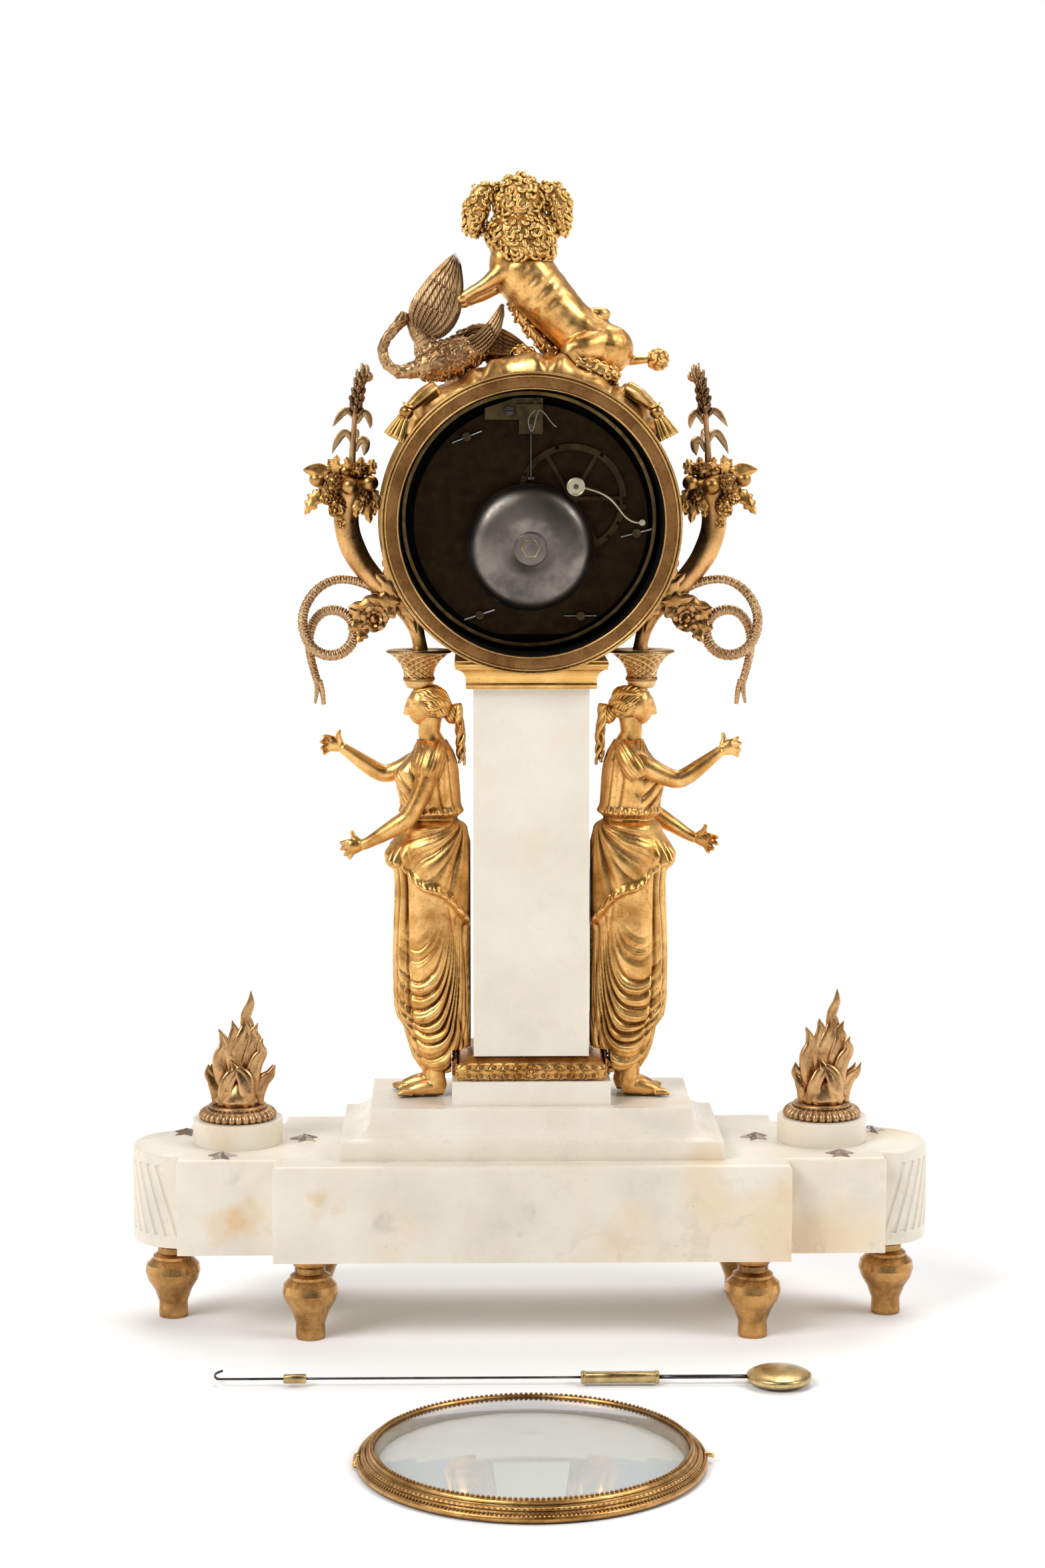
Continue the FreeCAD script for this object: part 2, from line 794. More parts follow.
def make_gadroons():
    """A ring of lobes: a turned band cut into lobes by round-bottomed flutes, with a flat lip above."""
    rim, lip, tall = d.gadroon_radius, d.gadroon_lip_radius, d.gadroon_height
    outline = [
        (1 * d.gadroon_bore, 0.0), (0.94 * rim, 0.0), (1.0 * rim, 0.22 * tall), (0.97 * rim, 0.45 * tall),
        (0.86 * rim, 0.66 * tall), (1.0 * lip, 0.74 * tall), (1.0 * lip, 1.0 * tall),
        (1 * d.gadroon_bore, 1.0 * tall),
    ]
    ring = turned("gadroon_pattern", outline)
    place(ring, 0.0, 0.0, base_top + d.disc_height)
    band = shape_of(ring)
    lobes = 32
    groove_share = 0.045
    cutters = []
    for index in range(lobes):
        angle = 2 * math.pi * index / lobes
        out = Vector(math.cos(angle), math.sin(angle), 0)
        reach = float(rim) * 1.035
        low = float(base_top + d.disc_height) - 0.1 * float(tall)
        cutters.append(Part.makeCylinder(groove_share * float(rim), 0.82 * float(tall),
                                         out * reach + Vector(0, 0, low), Vector(0, 0, 1)))
    on_both_sides("gadrooned_rings", band.cut(Part.makeCompound(cutters)), d.disc_x)


def make_flame(side, label):
    """A bunch of tapering, leaning tongues of fire over a round foot with a peg."""
    foot_z = float(base_top + d.disc_height + d.gadroon_height)
    tall, wide = float(d.flame_height), float(d.flame_radius)
    # lean across X and Y, height and thickness of each tongue, as shares of the flame
    tongue_shares = [
        (0.1, 0.0, 1.0, 0.42), (-0.62, 0.05, 0.66, 0.36), (0.62, -0.1, 0.58, 0.36), (-1.15, -0.1, 0.34, 0.34),
        (1.18, 0.1, 0.33, 0.34), (0.1, -0.8, 0.42, 0.38), (-0.1, 0.8, 0.44, 0.38),
    ]
    shapes = [Part.makeCone(0.82 * wide, wide * 0.9, 0.26 * tall, Vector(0, 0, 0), Vector(0, 0, 1))]
    for lean_x, lean_y, height, thick in tongue_shares:
        points = [
            Vector(0.35 * lean_x * wide, 0.35 * lean_y * wide, 0.03 * tall),
            Vector(0.62 * lean_x * wide, 0.6 * lean_y * wide, 0.45 * height * tall),
            Vector(0.8 * lean_x * wide, 0.8 * lean_y * wide, 0.72 * height * tall),
            Vector(1.0 * lean_x * wide, 1.0 * lean_y * wide, height * tall),
        ]
        shapes.append(limb(points, [thick * wide, thick * wide, 0.5 * thick * wide, 0.05 * wide]))
    below = Part.makeBox(8 * wide, 8 * wide, wide, Vector(-4 * wide, -4 * wide, -wide))
    whole = joined(shapes).cut(below)
    peg = Part.makeCylinder(float(d.flame_peg_radius), float(d.gadroon_height),
                            Vector(0, 0, -float(d.gadroon_height)), Vector(0, 0, 1))
    whole = whole.fuse(peg)
    whole.translate(Vector(-float(d.disc_x), 0, foot_z))
    keep(feature(label, whole if side < 0 else mirrored_x(whole)))


def star_places():
    """Four stars around each disc, on the base's top."""
    reach = d.star_reach
    offsets = [(0.98 * reach, 0.1 * reach), (-0.8 * reach, 0.52 * reach), (-0.16 * reach, -1.0 * reach),
               (-0.1 * reach, 1.0 * reach)]
    return [(side * (float(d.disc_x) - float(x)), float(y)) for side in (-1, 1) for x, y in offsets]


def make_stars():
    """Five-pointed faceted stars, each with a pin into the marble."""
    points = []
    for index in range(10):
        radius = d.star_radius if index % 2 == 0 else d.star_inner_radius
        angle = math.pi / 2 + index * math.pi / 5
        points.append(Vector(float(radius) * math.cos(angle), float(radius) * math.sin(angle), 0))
    tip = Vector(0, 0, float(d.star_height))
    faces = [Part.Face(Part.makePolygon(points + [points[0]]))]
    for index, point in enumerate(points):
        after = points[(index + 1) % len(points)]
        faces.append(Part.Face(Part.makePolygon([point, after, tip, point])))
    star = Part.Solid(Part.Shell(faces))
    stars = []
    for x, y in star_places():
        one = star.copy()
        one.translate(Vector(x, y, float(base_top)))
        stars.append(one)
    keep(feature("stars", Part.makeCompound(stars)))


# The drum: case with its saddle, rear ring and front ring.
def make_case():
    half, outer, inner = d.case_half_length, d.case_radius, d.case_radius - d.case_wall
    tube = rod_y("case_tube", outer, -half, 1 * half, 0.0, 1 * d.drum_z)
    saddle = box("case_saddle", (-d.saddle_half_x, -d.saddle_half_y, saddle_top),
                 (1 * d.saddle_half_x, 1 * d.saddle_half_y, 1 * d.drum_z))
    bore = rod_y("case_bore", inner, -half, 1 * half, 0.0, 1 * d.drum_z)
    solid = fused("case_solid", [tube, saddle])
    slot = slot_box("case_slot", saddle_top - d.overrun, 1 * d.drum_z)
    ties = [rod(f"case_tie_{index}", d.tie_hole_radius, d.case_radius, x, y, saddle_top - d.overrun)
            for index, (x, y) in enumerate(tie_places())]
    keep(cut_by("drum_case", solid, [bore, slot] + ties))


def make_rear_ring():
    bore, rim, thick, bead = d.ring_opening_radius, d.ring_radius, d.ring_thickness, d.ring_bead
    outline = [
        (1 * bore, 0.0), (1 * rim, 0.0), (1 * rim, thick - bead), (rim - 0.6 * bead, 1 * thick),
        (rim - 1.6 * bead, 1 * thick), (rim - 2.0 * bead, thick - bead), (rim - 2.6 * bead, 1 * thick),
        (rim - 3.6 * bead, 1 * thick), (rim - 4.0 * bead, thick - 0.5 * bead),
        (bore + 0.5 * bead, thick - 0.5 * bead), (1 * bore, thick - bead),
    ]
    ring = turned("rear_ring", outline)
    keep(place(ring, 0.0, -d.case_half_length, 1 * d.drum_z, Rotation(Vector(1, 0, 0), 90)))


def make_front_ring():
    bore, rim, thick = d.front_ring_bore, d.front_ring_radius, d.front_ring_thickness
    spigot = d.case_radius - d.case_wall - d.spigot_clearance
    outline = [
        (1 * bore, 0.0), (1 * spigot, 0.0), (1 * spigot, 1 * d.spigot_length), (1 * rim, 1 * d.spigot_length),
        (1 * rim, d.spigot_length + 0.7 * thick), (0.96 * rim, d.spigot_length + thick),
        (1 * bore, d.spigot_length + thick),
    ]
    ring = turned("front_ring", outline)
    keep(place(ring, 0.0, d.case_half_length - d.spigot_length, 1 * d.drum_z, ALONG_Y))


make_discs()
make_gadroons()
make_flame(-1, "flame_left")
make_flame(1, "flame_right")
make_stars()
make_case()
make_rear_ring()
make_front_ring()


# The movement. Places in its plates are (across, up) from the drum's axis, seen from behind.
back_inner = d.back_plate_y + d.plate_thickness
front_inner = back_inner + d.plate_gap
front_outer = front_inner + d.plate_thickness
back_outer = 1 * d.back_plate_y

GOING_BARREL_TEETH, INTERMEDIATE_PINION, INTERMEDIATE_TEETH, CENTRE_PINION = 84, 12, 72, 12
CENTRE_TEETH, THIRD_PINION, THIRD_TEETH, ESCAPE_PINION, ESCAPE_TEETH = 84, 8, 72, 7, 32
STRIKE_TEETH, COUNT_PINION, COUNT_TEETH, PIN_PINION, PIN_TEETH = 84, 12, 78, 8, 56
LOCKING_PINION, LOCKING_TEETH, FLY_PINION, LIFT_PINS = 7, 56, 7, 8
CANNON_TEETH, MINUTE_TEETH, MINUTE_PINION, HOUR_TEETH = 12, 36, 12, 48


def mesh_distance(module, first, second):
    return float(module) * (first + second) / 2


def meeting_point(first, first_reach, second, second_reach, side):
    """The place at two reaches from two places, on the chosen side of the line between them."""
    dx, dz = second[0] - first[0], second[1] - first[1]
    span = math.hypot(dx, dz)
    along = (first_reach ** 2 - second_reach ** 2 + span ** 2) / (2 * span)
    off = side * math.sqrt(first_reach ** 2 - along ** 2)
    return (first[0] + (along * dx - off * dz) / span, first[1] + (along * dz + off * dx) / span)


def at_angle(start, reach, degrees):
    turn = math.radians(degrees)
    return (start[0] + reach * math.cos(turn), start[1] + reach * math.sin(turn))


CENTRE = (0.0, 0.0)
GOING = (-float(d.barrel_x), -float(d.barrel_z))
STRIKE = (float(d.barrel_x), -float(d.barrel_z))
ESCAPE = (float(d.escape_x), float(d.escape_z))
PALLETS = (float(d.escape_x), float(d.pallet_z))
INTERMEDIATE = meeting_point(GOING, mesh_distance(d.barrel_module, GOING_BARREL_TEETH, INTERMEDIATE_PINION),
                             CENTRE, mesh_distance(d.inner_module, INTERMEDIATE_TEETH, CENTRE_PINION), -1)
THIRD = meeting_point(CENTRE, mesh_distance(d.centre_module, CENTRE_TEETH, THIRD_PINION),
                      ESCAPE, mesh_distance(d.third_module, THIRD_TEETH, ESCAPE_PINION), 1)
COUNT = meeting_point(STRIKE, mesh_distance(d.barrel_module, STRIKE_TEETH, COUNT_PINION),
                      CENTRE, math.hypot(float(d.count_x), float(d.count_z)), -1)
PIN_WHEEL = at_angle(COUNT, mesh_distance(d.count_module, COUNT_TEETH, PIN_PINION), 50)
LOCKING = at_angle(PIN_WHEEL, mesh_distance(d.pin_wheel_module, PIN_TEETH, LOCKING_PINION), 100)
FLY = at_angle(LOCKING, mesh_distance(d.locking_module, LOCKING_TEETH, FLY_PINION), 150)
HAMMER = (float(d.hammer_x), float(d.hammer_z))
MINUTE_STUD = at_angle(CENTRE, mesh_distance(d.motion_module, CANNON_TEETH, MINUTE_TEETH), 90)


def post_places():
    """The four pillars between the plates."""
    reach = float(d.pillar_post_reach)
    return [at_angle(CENTRE, reach, degrees) for degrees in (127, 241, 298, 354)]


def tooth_outline(teeth, module, phase, tip_share=0.15, root_share=0.25, add_share=0.82, drop_share=1.15):
    """The toothed rim's points. The phase is where the first tooth points, in degrees."""
    pitch = float(module) * teeth / 2
    add, drop = add_share * float(module), drop_share * float(module)
    step = 2 * math.pi / teeth
    start = math.radians(phase)
    points = []
    for index in range(teeth):
        middle = start + index * step
        for reach, half in ((pitch - drop, root_share), (pitch + add, tip_share)):
            turn = middle - half * step
            points.append(Vector(reach * math.cos(turn), 0, reach * math.sin(turn)))
        for reach, half in ((pitch + add, tip_share), (pitch - drop, root_share)):
            turn = middle + half * step
            points.append(Vector(reach * math.cos(turn), 0, reach * math.sin(turn)))
    return points


def rim_from(points, low_y, thick):
    wire = Part.makePolygon(points + [points[0]])
    blank = Part.Face(wire).extrude(Vector(0, float(thick), 0))
    blank.translate(Vector(0, float(low_y), 0))
    return blank


def disc_y(radius, low_y, thick, at=CENTRE):
    return Part.makeCylinder(float(radius), float(thick), Vector(at[0], float(low_y), at[1]), Vector(0, 1, 0))


def crossed_out(blank, rim_radius, hub_radius, spokes, low_y, thick, spoke_share=0.16):
    """Open a wheel between rim and hub, leaving spokes."""
    hole = disc_y(rim_radius, low_y - d.overrun, thick + 2 * d.overrun).cut(
        disc_y(hub_radius, low_y - d.overrun, thick + 2 * d.overrun))
    half = spoke_share * float(hub_radius + rim_radius) / 2
    bars = []
    for index in range(spokes):
        bar = Part.makeBox(float(rim_radius) * 1.1, float(thick + 2 * d.overrun), 2 * half,
                           Vector(0, float(low_y - d.overrun), -half))
        bar.rotate(Vector(0, 0, 0), Vector(0, 1, 0), 360 * index / spokes)
        bars.append(bar)
    return blank.cut(hole.cut(Part.makeCompound(bars)))


def wheel(teeth, module, low_y, thick, phase, spokes=5):
    """A toothed wheel about the origin's Y axis."""
    pitch = float(module) * teeth / 2
    blank = rim_from(tooth_outline(teeth, module, phase), low_y, thick)
    if spokes:
        blank = crossed_out(blank, 0.8 * pitch, 0.26 * pitch, spokes, low_y, thick)
    return blank


def pinion(leaves, module, low_y, long, phase):
    """A pinion's leaves are thin, so that they pass between the wheel's teeth."""
    points = tooth_outline(leaves, module, phase, 0.1, 0.17, 0.75, 1.1)
    return rim_from(points, low_y, long)


def staff(low_y, high_y, radius):
    return disc_y(radius, low_y, high_y - low_y)


def set_at(shapes, spot):
    """Fuse a wheel and its arbor and put them at their place in the plates."""
    whole = joined(shapes)
    whole.translate(Vector(spot[0], 0, spot[1] + float(d.drum_z)))
    return whole


def facing(start, end):
    """The direction from one arbor to another, in degrees."""
    return math.degrees(math.atan2(end[1] - start[1], end[0] - start[0]))


def gap_phase(teeth, towards):
    """The phase that turns a gap of the wheel towards a direction."""
    return towards + 180 / teeth


def inner_arbor():
    """An arbor with its pivots in the two plates."""
    body = staff(back_inner + d.seat_gap, front_inner - d.seat_gap, d.fine_arbor_radius)
    pivots = staff(back_outer + d.seat_gap, front_outer - d.seat_gap, d.pivot_radius)
    return [body, pivots]


def stud_length():
    """How far the minute wheel's stud stands out of the front plate."""
    return 3.2 * d.wheel_thickness


def make_plates():
    """Front and back plates, drilled for every arbor, post and dial foot."""
    clear = d.running_clearance
    flat = float(d.plate_flat)
    for label, low_y in (("back_plate", back_outer), ("front_plate", front_inner)):
        blank = disc_y(d.plate_radius, low_y, d.plate_thickness)
        trim = Part.makeBox(2 * float(d.plate_radius), float(d.plate_thickness + 2 * d.overrun),
                            float(d.plate_radius),
                            Vector(-float(d.plate_radius), float(low_y - d.overrun),
                                   -flat - float(d.plate_radius)))
        holes = [(spot, d.pivot_radius + clear)
                 for spot in (INTERMEDIATE, THIRD, ESCAPE, PIN_WHEEL, LOCKING, FLY, HAMMER)]
        holes += [(spot, d.barrel_arbor_radius + clear) for spot in (GOING, STRIKE)]
        holes += [(spot, d.arbor_radius + clear) for spot in (CENTRE, COUNT, PALLETS)]
        holes += [(spot, d.pillar_post_neck + clear) for spot in post_places()]
        if label == "front_plate":
            holes += [(spot, d.dial_foot_radius + clear) for spot in dial_feet_places()]
        tools = [disc_y(radius, low_y - d.overrun, d.plate_thickness + 2 * d.overrun, spot)
                 for spot, radius in holes]
        plate = blank.cut(trim).cut(Part.makeCompound(tools))
        if label == "front_plate":
            plate = plate.fuse(disc_y(d.pivot_radius, front_inner, d.plate_thickness + stud_length(),
                                      MINUTE_STUD))
        plate.translate(Vector(0, 0, float(d.drum_z)))
        keep(feature(label, plate))


def make_posts():
    """Four pillars between the plates, each with a taper pin through its tail."""
    angles = (22, 18, 0, 14)
    posts, pins = [], []
    pin_y = back_outer - d.post_tail / 2
    for (x, z), angle in zip(post_places(), angles):
        spot = (x, z + float(d.drum_z))
        body = disc_y(d.pillar_post_radius, back_inner, d.plate_gap, spot)
        neck = disc_y(d.pillar_post_neck, back_outer - d.post_tail,
                      d.plate_gap + 2 * d.plate_thickness + d.post_tail, spot)
        turn = math.radians(angle)
        along = Vector(math.cos(turn), 0, math.sin(turn))
        middle = Vector(spot[0], float(pin_y), spot[1])
        start = middle - along * float(d.pin_half_length)
        hole = Part.makeCylinder(float(d.pin_radius + d.running_clearance), 2 * float(d.pin_half_length),
                                 start, along)
        posts.append(body.fuse(neck).cut(hole))
        pins.append(Part.makeCone(0.7 * float(d.pin_radius), float(d.pin_radius),
                                  2 * float(d.pin_half_length), start, along))
    keep(feature("plate_posts", Part.makeCompound(posts)))
    keep(feature("taper_pins", Part.makeCompound(pins)))


def dial_feet_places():
    return [at_angle(CENTRE, float(d.dial_foot_reach), degrees) for degrees in (80, 200, 325)]


def make_barrel(label, spot, drum_y, wheel_y, towards):
    """A spring barrel with its great wheel, on an arbor that ends in a winding square before the dial."""
    side = float(d.winding_square)
    square = Part.makeBox(side, float(d.dial_back_y + d.dial_thickness - front_outer), side,
                          Vector(-side / 2, float(front_outer), -side / 2))
    parts = [
        disc_y(d.barrel_radius, drum_y, d.barrel_length),
        wheel(GOING_BARREL_TEETH, d.barrel_module, wheel_y, d.great_wheel_thickness, towards, 0),
        staff(back_outer + d.seat_gap, front_outer, d.barrel_arbor_radius),
        square,
    ]
    return keep(feature(label, set_at(parts, spot)))


def make_going_train():
    """From the going barrel to the escape wheel, each wheel with a tooth towards the next pinion's gap."""
    thin, leaf = d.wheel_thickness, d.pinion_length
    drum_y = back_inner + 4 * d.wheel_thickness
    great_y = drum_y + d.barrel_length
    make_barrel("going_barrel", GOING, drum_y, great_y, facing(GOING, INTERMEDIATE))
    wheel_y = great_y + 2 * d.great_wheel_thickness
    middle = (leaf - d.great_wheel_thickness) / 2
    keep(feature("intermediate_wheel", set_at(inner_arbor() + [
        pinion(INTERMEDIATE_PINION, d.barrel_module, great_y - middle, leaf,
               gap_phase(INTERMEDIATE_PINION, facing(INTERMEDIATE, GOING))),
        wheel(INTERMEDIATE_TEETH, d.inner_module, wheel_y, thin, facing(INTERMEDIATE, CENTRE)),
    ], INTERMEDIATE)))
    centre_y = wheel_y + 2 * leaf - d.wheel_thickness
    keep(feature("centre_wheel", set_at([
        staff(back_outer + d.seat_gap, d.minute_hand_y + 2 * d.hand_thickness, d.arbor_radius),
        pinion(CENTRE_PINION, d.inner_module, wheel_y - thin / 2, 2 * thin,
               gap_phase(CENTRE_PINION, facing(CENTRE, INTERMEDIATE))),
        wheel(CENTRE_TEETH, d.centre_module, centre_y, thin, facing(CENTRE, THIRD)),
    ], CENTRE)))
    third_y = back_inner + thin
    keep(feature("third_wheel", set_at(inner_arbor() + [
        pinion(THIRD_PINION, d.centre_module, centre_y - thin / 2, 2 * thin,
               gap_phase(THIRD_PINION, facing(THIRD, CENTRE))),
        wheel(THIRD_TEETH, d.third_module, third_y, thin, facing(THIRD, ESCAPE)),
    ], THIRD)))
    keep(feature("escape_wheel", set_at(inner_arbor() + [
        pinion(ESCAPE_PINION, d.third_module, third_y - thin / 2, 2 * thin,
               gap_phase(ESCAPE_PINION, facing(ESCAPE, THIRD))),
        escape_rim(escape_y()),
    ], ESCAPE)))


def escape_y():
    return back_inner + 5 * d.wheel_thickness


def escape_rim(low_y):
    """Thirty-two sharp teeth, crossed out, with near a quarter pitch between a tooth and each pallet."""
    lag_share = 0.21
    outer, inner = float(d.escape_radius), float(d.escape_radius - d.escape_tooth)
    step = 2 * math.pi / ESCAPE_TEETH
    start = math.pi / 2 + pallet_half_angle() + lag_share * step
    points = []
    for index in range(ESCAPE_TEETH):
        turn = start + index * step
        for reach, lag in ((outer, 0.0), (outer, 0.05), (inner, 0.2), (inner, 0.92)):
            points.append(Vector(reach * math.cos(turn + lag * step), 0, reach * math.sin(turn + lag * step)))
    blank = rim_from(points, low_y, d.wheel_thickness)
    return crossed_out(blank, 0.78 * d.escape_radius, 0.24 * d.escape_radius, 4, low_y, d.wheel_thickness)


def pallet_half_angle():
    """Half the angle at the escape wheel between the pallets, which span eight and a half teeth."""
    return 8.5 / 2 * 2 * math.pi / ESCAPE_TEETH


def make_pallets():
    """The anchor on its arbor, with the crutch behind the back plate."""
    low_y, thick = escape_y(), d.wheel_thickness
    reach = float(d.escape_radius) + 0.12 * float(d.escape_tooth)
    drop = PALLETS[1] - ESCAPE[1]
    arms = []
    for side in (-1, 1):
        turn = math.pi / 2 + side * pallet_half_angle()
        toe = Vector(reach * math.cos(turn), 0, reach * math.sin(turn) - drop)
        out = Vector(math.cos(turn), 0, math.sin(turn))
        across = Vector(-out.z, 0, out.x)
        half = 0.25 * float(d.escape_tooth)
        heel = toe + out * 2.4 * float(d.escape_tooth)
        nib = [toe - across * half, toe + across * half, heel + across * half, heel - across * half]
        arms.append(rim_from(nib, low_y, thick))
        half = 0.7 * float(d.escape_tooth)
        shoulder = Vector(0, 0, 0)
        line = (heel - shoulder).normalize()
        over = Vector(-line.z, 0, line.x)
        end = heel + line * half
        bar = [shoulder - over * half, shoulder + over * half, end + over * half, end - over * half]
        arms.append(rim_from(bar, low_y, thick))
    rear = d.pendulum_y + 2 * d.crutch_radius
    wire = float(d.crutch_radius)
    bottom, wide, prong = -float(d.crutch_drop), 5 * wire, 1.4 * wire
    fork_y = float(rear) - 2 * wire
    crutch = [
        disc_y(2.2 * d.arbor_radius, low_y, thick),
        staff(rear - 2 * d.crutch_radius, front_inner - d.seat_gap, d.arbor_radius),
        staff(front_inner - d.seat_gap, front_outer - d.seat_gap, d.pivot_radius),
        Part.makeCylinder(0.8 * wire, -bottom, Vector(0, float(rear) - wire, bottom), Vector(0, 0, 1)),
        Part.makeBox(wide, 2 * wire, 2 * wire, Vector(-wide / 2, fork_y, bottom - wire)),
    ]
    for x in (-wide / 2, wide / 2 - prong):
        crutch.append(Part.makeBox(prong, 6 * wire, 2 * wire, Vector(x, fork_y - 4 * wire, bottom - wire)))
    keep(feature("pallets_and_crutch", set_at(arms + crutch, PALLETS)))


def make_strike_train():
    """From the strike barrel to the fly. The count wheel sits outside the back plate."""
    thin, leaf = d.wheel_thickness, d.pinion_length
    great_y = back_inner + d.wheel_thickness
    drum_y = great_y + d.great_wheel_thickness
    make_barrel("strike_barrel", STRIKE, drum_y, great_y, facing(STRIKE, COUNT))
    second_y = drum_y + d.barrel_length + thin
    rear = back_outer - 2 * thin
    middle = (leaf - d.great_wheel_thickness) / 2
    keep(feature("strike_second_wheel", set_at([
        staff(rear, front_inner - d.seat_gap, d.arbor_radius),
        staff(front_inner - d.seat_gap, front_outer - d.seat_gap, d.pivot_radius),
        pinion(COUNT_PINION, d.barrel_module, great_y - middle / 2, leaf,
               gap_phase(COUNT_PINION, facing(COUNT, STRIKE))),
        wheel(COUNT_TEETH, d.count_module, second_y, thin, facing(COUNT, PIN_WHEEL)),
    ], COUNT)))
    make_count_wheel(rear)
    pins_y = second_y - 3 * thin
    lift = [disc_y(d.lift_pin_radius, pins_y - d.lift_pin_length, d.lift_pin_length,
                   at_angle(CENTRE, float(d.lift_pin_circle), 360 * index / LIFT_PINS))
            for index in range(LIFT_PINS)]
    rim = wheel(PIN_TEETH, d.pin_wheel_module, pins_y, thin, facing(PIN_WHEEL, LOCKING), 0)
    keep(feature("pin_wheel", set_at(inner_arbor() + lift + [
        pinion(PIN_PINION, d.count_module, second_y - thin / 2, 2 * thin,
               gap_phase(PIN_PINION, facing(PIN_WHEEL, COUNT))),
        rim,
    ], PIN_WHEEL)))
    locking_y = back_inner + 7 * thin
    keep(feature("locking_wheel", set_at(inner_arbor() + [
        pinion(LOCKING_PINION, d.pin_wheel_module, pins_y - thin / 2, 2 * thin,
               gap_phase(LOCKING_PINION, facing(LOCKING, PIN_WHEEL))),
        wheel(LOCKING_TEETH, d.locking_module, locking_y, thin, facing(LOCKING, FLY)),
    ], LOCKING)))
    blade = d.fly_blade
    vane = Part.makeBox(2 * float(d.fly_half_width), float(d.fly_length), float(blade),
                        Vector(-float(d.fly_half_width), float(locking_y + 2 * leaf), -float(blade) / 2))
    keep(feature("fly", set_at(inner_arbor() + [
        vane,
        pinion(FLY_PINION, d.locking_module, locking_y - thin / 2, 2 * thin,
               gap_phase(FLY_PINION, facing(FLY, LOCKING))),
    ], FLY)))


def make_count_wheel(low_y):
    """The count wheel: a crossed-out disc whose rim is notched after each hour's run of blows."""
    radius, rim = d.count_radius, d.count_rim
    thin = d.wheel_thickness
    blank = crossed_out(disc_y(radius, low_y, thin), radius - rim, 3 * d.arbor_radius, 6, low_y, thin, 0.07)
    notches, passed = [], 0
    for hour in range(1, 13):
        passed += hour
        angle = 360 * passed / COUNT_TEETH
        notch = Part.makeBox(float(rim), float(thin + 2 * d.overrun), 0.6 * float(rim),
                             Vector(float(radius) - 0.55 * float(rim), float(low_y - d.overrun),
                                    -0.3 * float(rim)))
        notch.rotate(Vector(0, 0, 0), Vector(0, 1, 0), angle)
        notches.append(notch)
    bore = disc_y(d.arbor_radius, low_y - d.overrun, thin + 2 * d.overrun)
    keep(feature("count_wheel", set_at([blank.cut(Part.makeCompound(notches + [bore]))], COUNT)))


def make_motion_work():
    """Cannon pinion, minute wheel and hour wheel between the front plate and the dial."""
    gap, thin = d.seat_gap, 0.8 * d.wheel_thickness
    low = front_outer + gap
    bore = disc_y(d.arbor_radius + d.running_clearance, low - d.overrun, d.minute_hand_y)
    cannon = [
        pinion(CANNON_TEETH, d.motion_module, low, 1.6 * thin,
               gap_phase(CANNON_TEETH, facing(CENTRE, MINUTE_STUD))),
        staff(low, 1 * d.minute_hand_y, d.cannon_radius),
    ]
    keep(feature("cannon_pinion", set_at([joined(cannon).cut(bore)], CENTRE)))
    wheel_hole = disc_y(d.pivot_radius + d.running_clearance, low - d.overrun, 4 * d.overrun)
    minute = joined([
        wheel(MINUTE_TEETH, d.motion_module, low + gap, thin, facing(MINUTE_STUD, CENTRE), 4),
        pinion(MINUTE_PINION, d.hour_module, low + gap, 3 * thin,
               gap_phase(MINUTE_PINION, facing(MINUTE_STUD, CENTRE))),
    ]).cut(wheel_hole)
    keep(feature("minute_wheel", set_at([minute], MINUTE_STUD)))
    hour_low = low + gap + 1.9 * thin
    pipe_bore = disc_y(d.cannon_radius + d.running_clearance, hour_low - d.overrun, d.minute_hand_y)
    hour = joined([
        wheel(HOUR_TEETH, d.hour_module, hour_low, thin, facing(CENTRE, MINUTE_STUD), 4),
        staff(hour_low, 1 * d.hour_hand_y, d.hour_pipe_radius),
    ]).cut(pipe_bore)
    keep(feature("hour_wheel", set_at([hour], CENTRE)))


def make_dial():
    """The enamelled dial with its winding holes and three feet in the front plate."""
    at = float(d.dial_back_y)
    plate = disc_y(d.dial_radius, d.dial_back_y, d.dial_thickness)
    holes = [disc_y(d.dial_hole_radius, d.dial_back_y - d.overrun, 2 * d.overrun)]
    holes += [disc_y(d.winding_hole_radius, d.dial_back_y - d.overrun, 2 * d.overrun, spot)
              for spot in (GOING, STRIKE)]
    feet = [disc_y(d.dial_foot_radius, front_inner + d.seat_gap, at - float(front_inner), spot)
            for spot in dial_feet_places()]
    dial = plate.cut(Part.makeCompound(holes)).multiFuse(feet)
    dial.translate(Vector(0, 0, float(d.drum_z)))
    keep(feature("dial", dial))


def hand(label, length, low_y, bore, angle):
    """A pierced hand: boss, tapering blade with a round eye, and a point."""
    wide, long = float(d.hand_width), float(length)
    blade = rim_from([Vector(-0.35 * wide, 0, 0), Vector(0.35 * wide, 0, 0), Vector(0.2 * wide, 0, 0.6 * long),
                      Vector(0, 0, long), Vector(-0.2 * wide, 0, 0.6 * long)], low_y, d.hand_thickness)
    eye = disc_y(1.1 * wide, low_y, d.hand_thickness, (0, 0.62 * long))
    boss = disc_y(d.hand_boss_radius, low_y, d.hand_thickness)
    pierced = disc_y(0.65 * wide, low_y - d.overrun, 2 * d.overrun, (0, 0.62 * long))
    hole = disc_y(bore, low_y - d.overrun, 2 * d.overrun)
    shape = joined([blade, eye, boss]).cut(pierced).cut(hole)
    shape.rotate(Vector(0, 0, 0), Vector(0, 1, 0), angle)
    keep(feature(label, set_at([shape], CENTRE)))


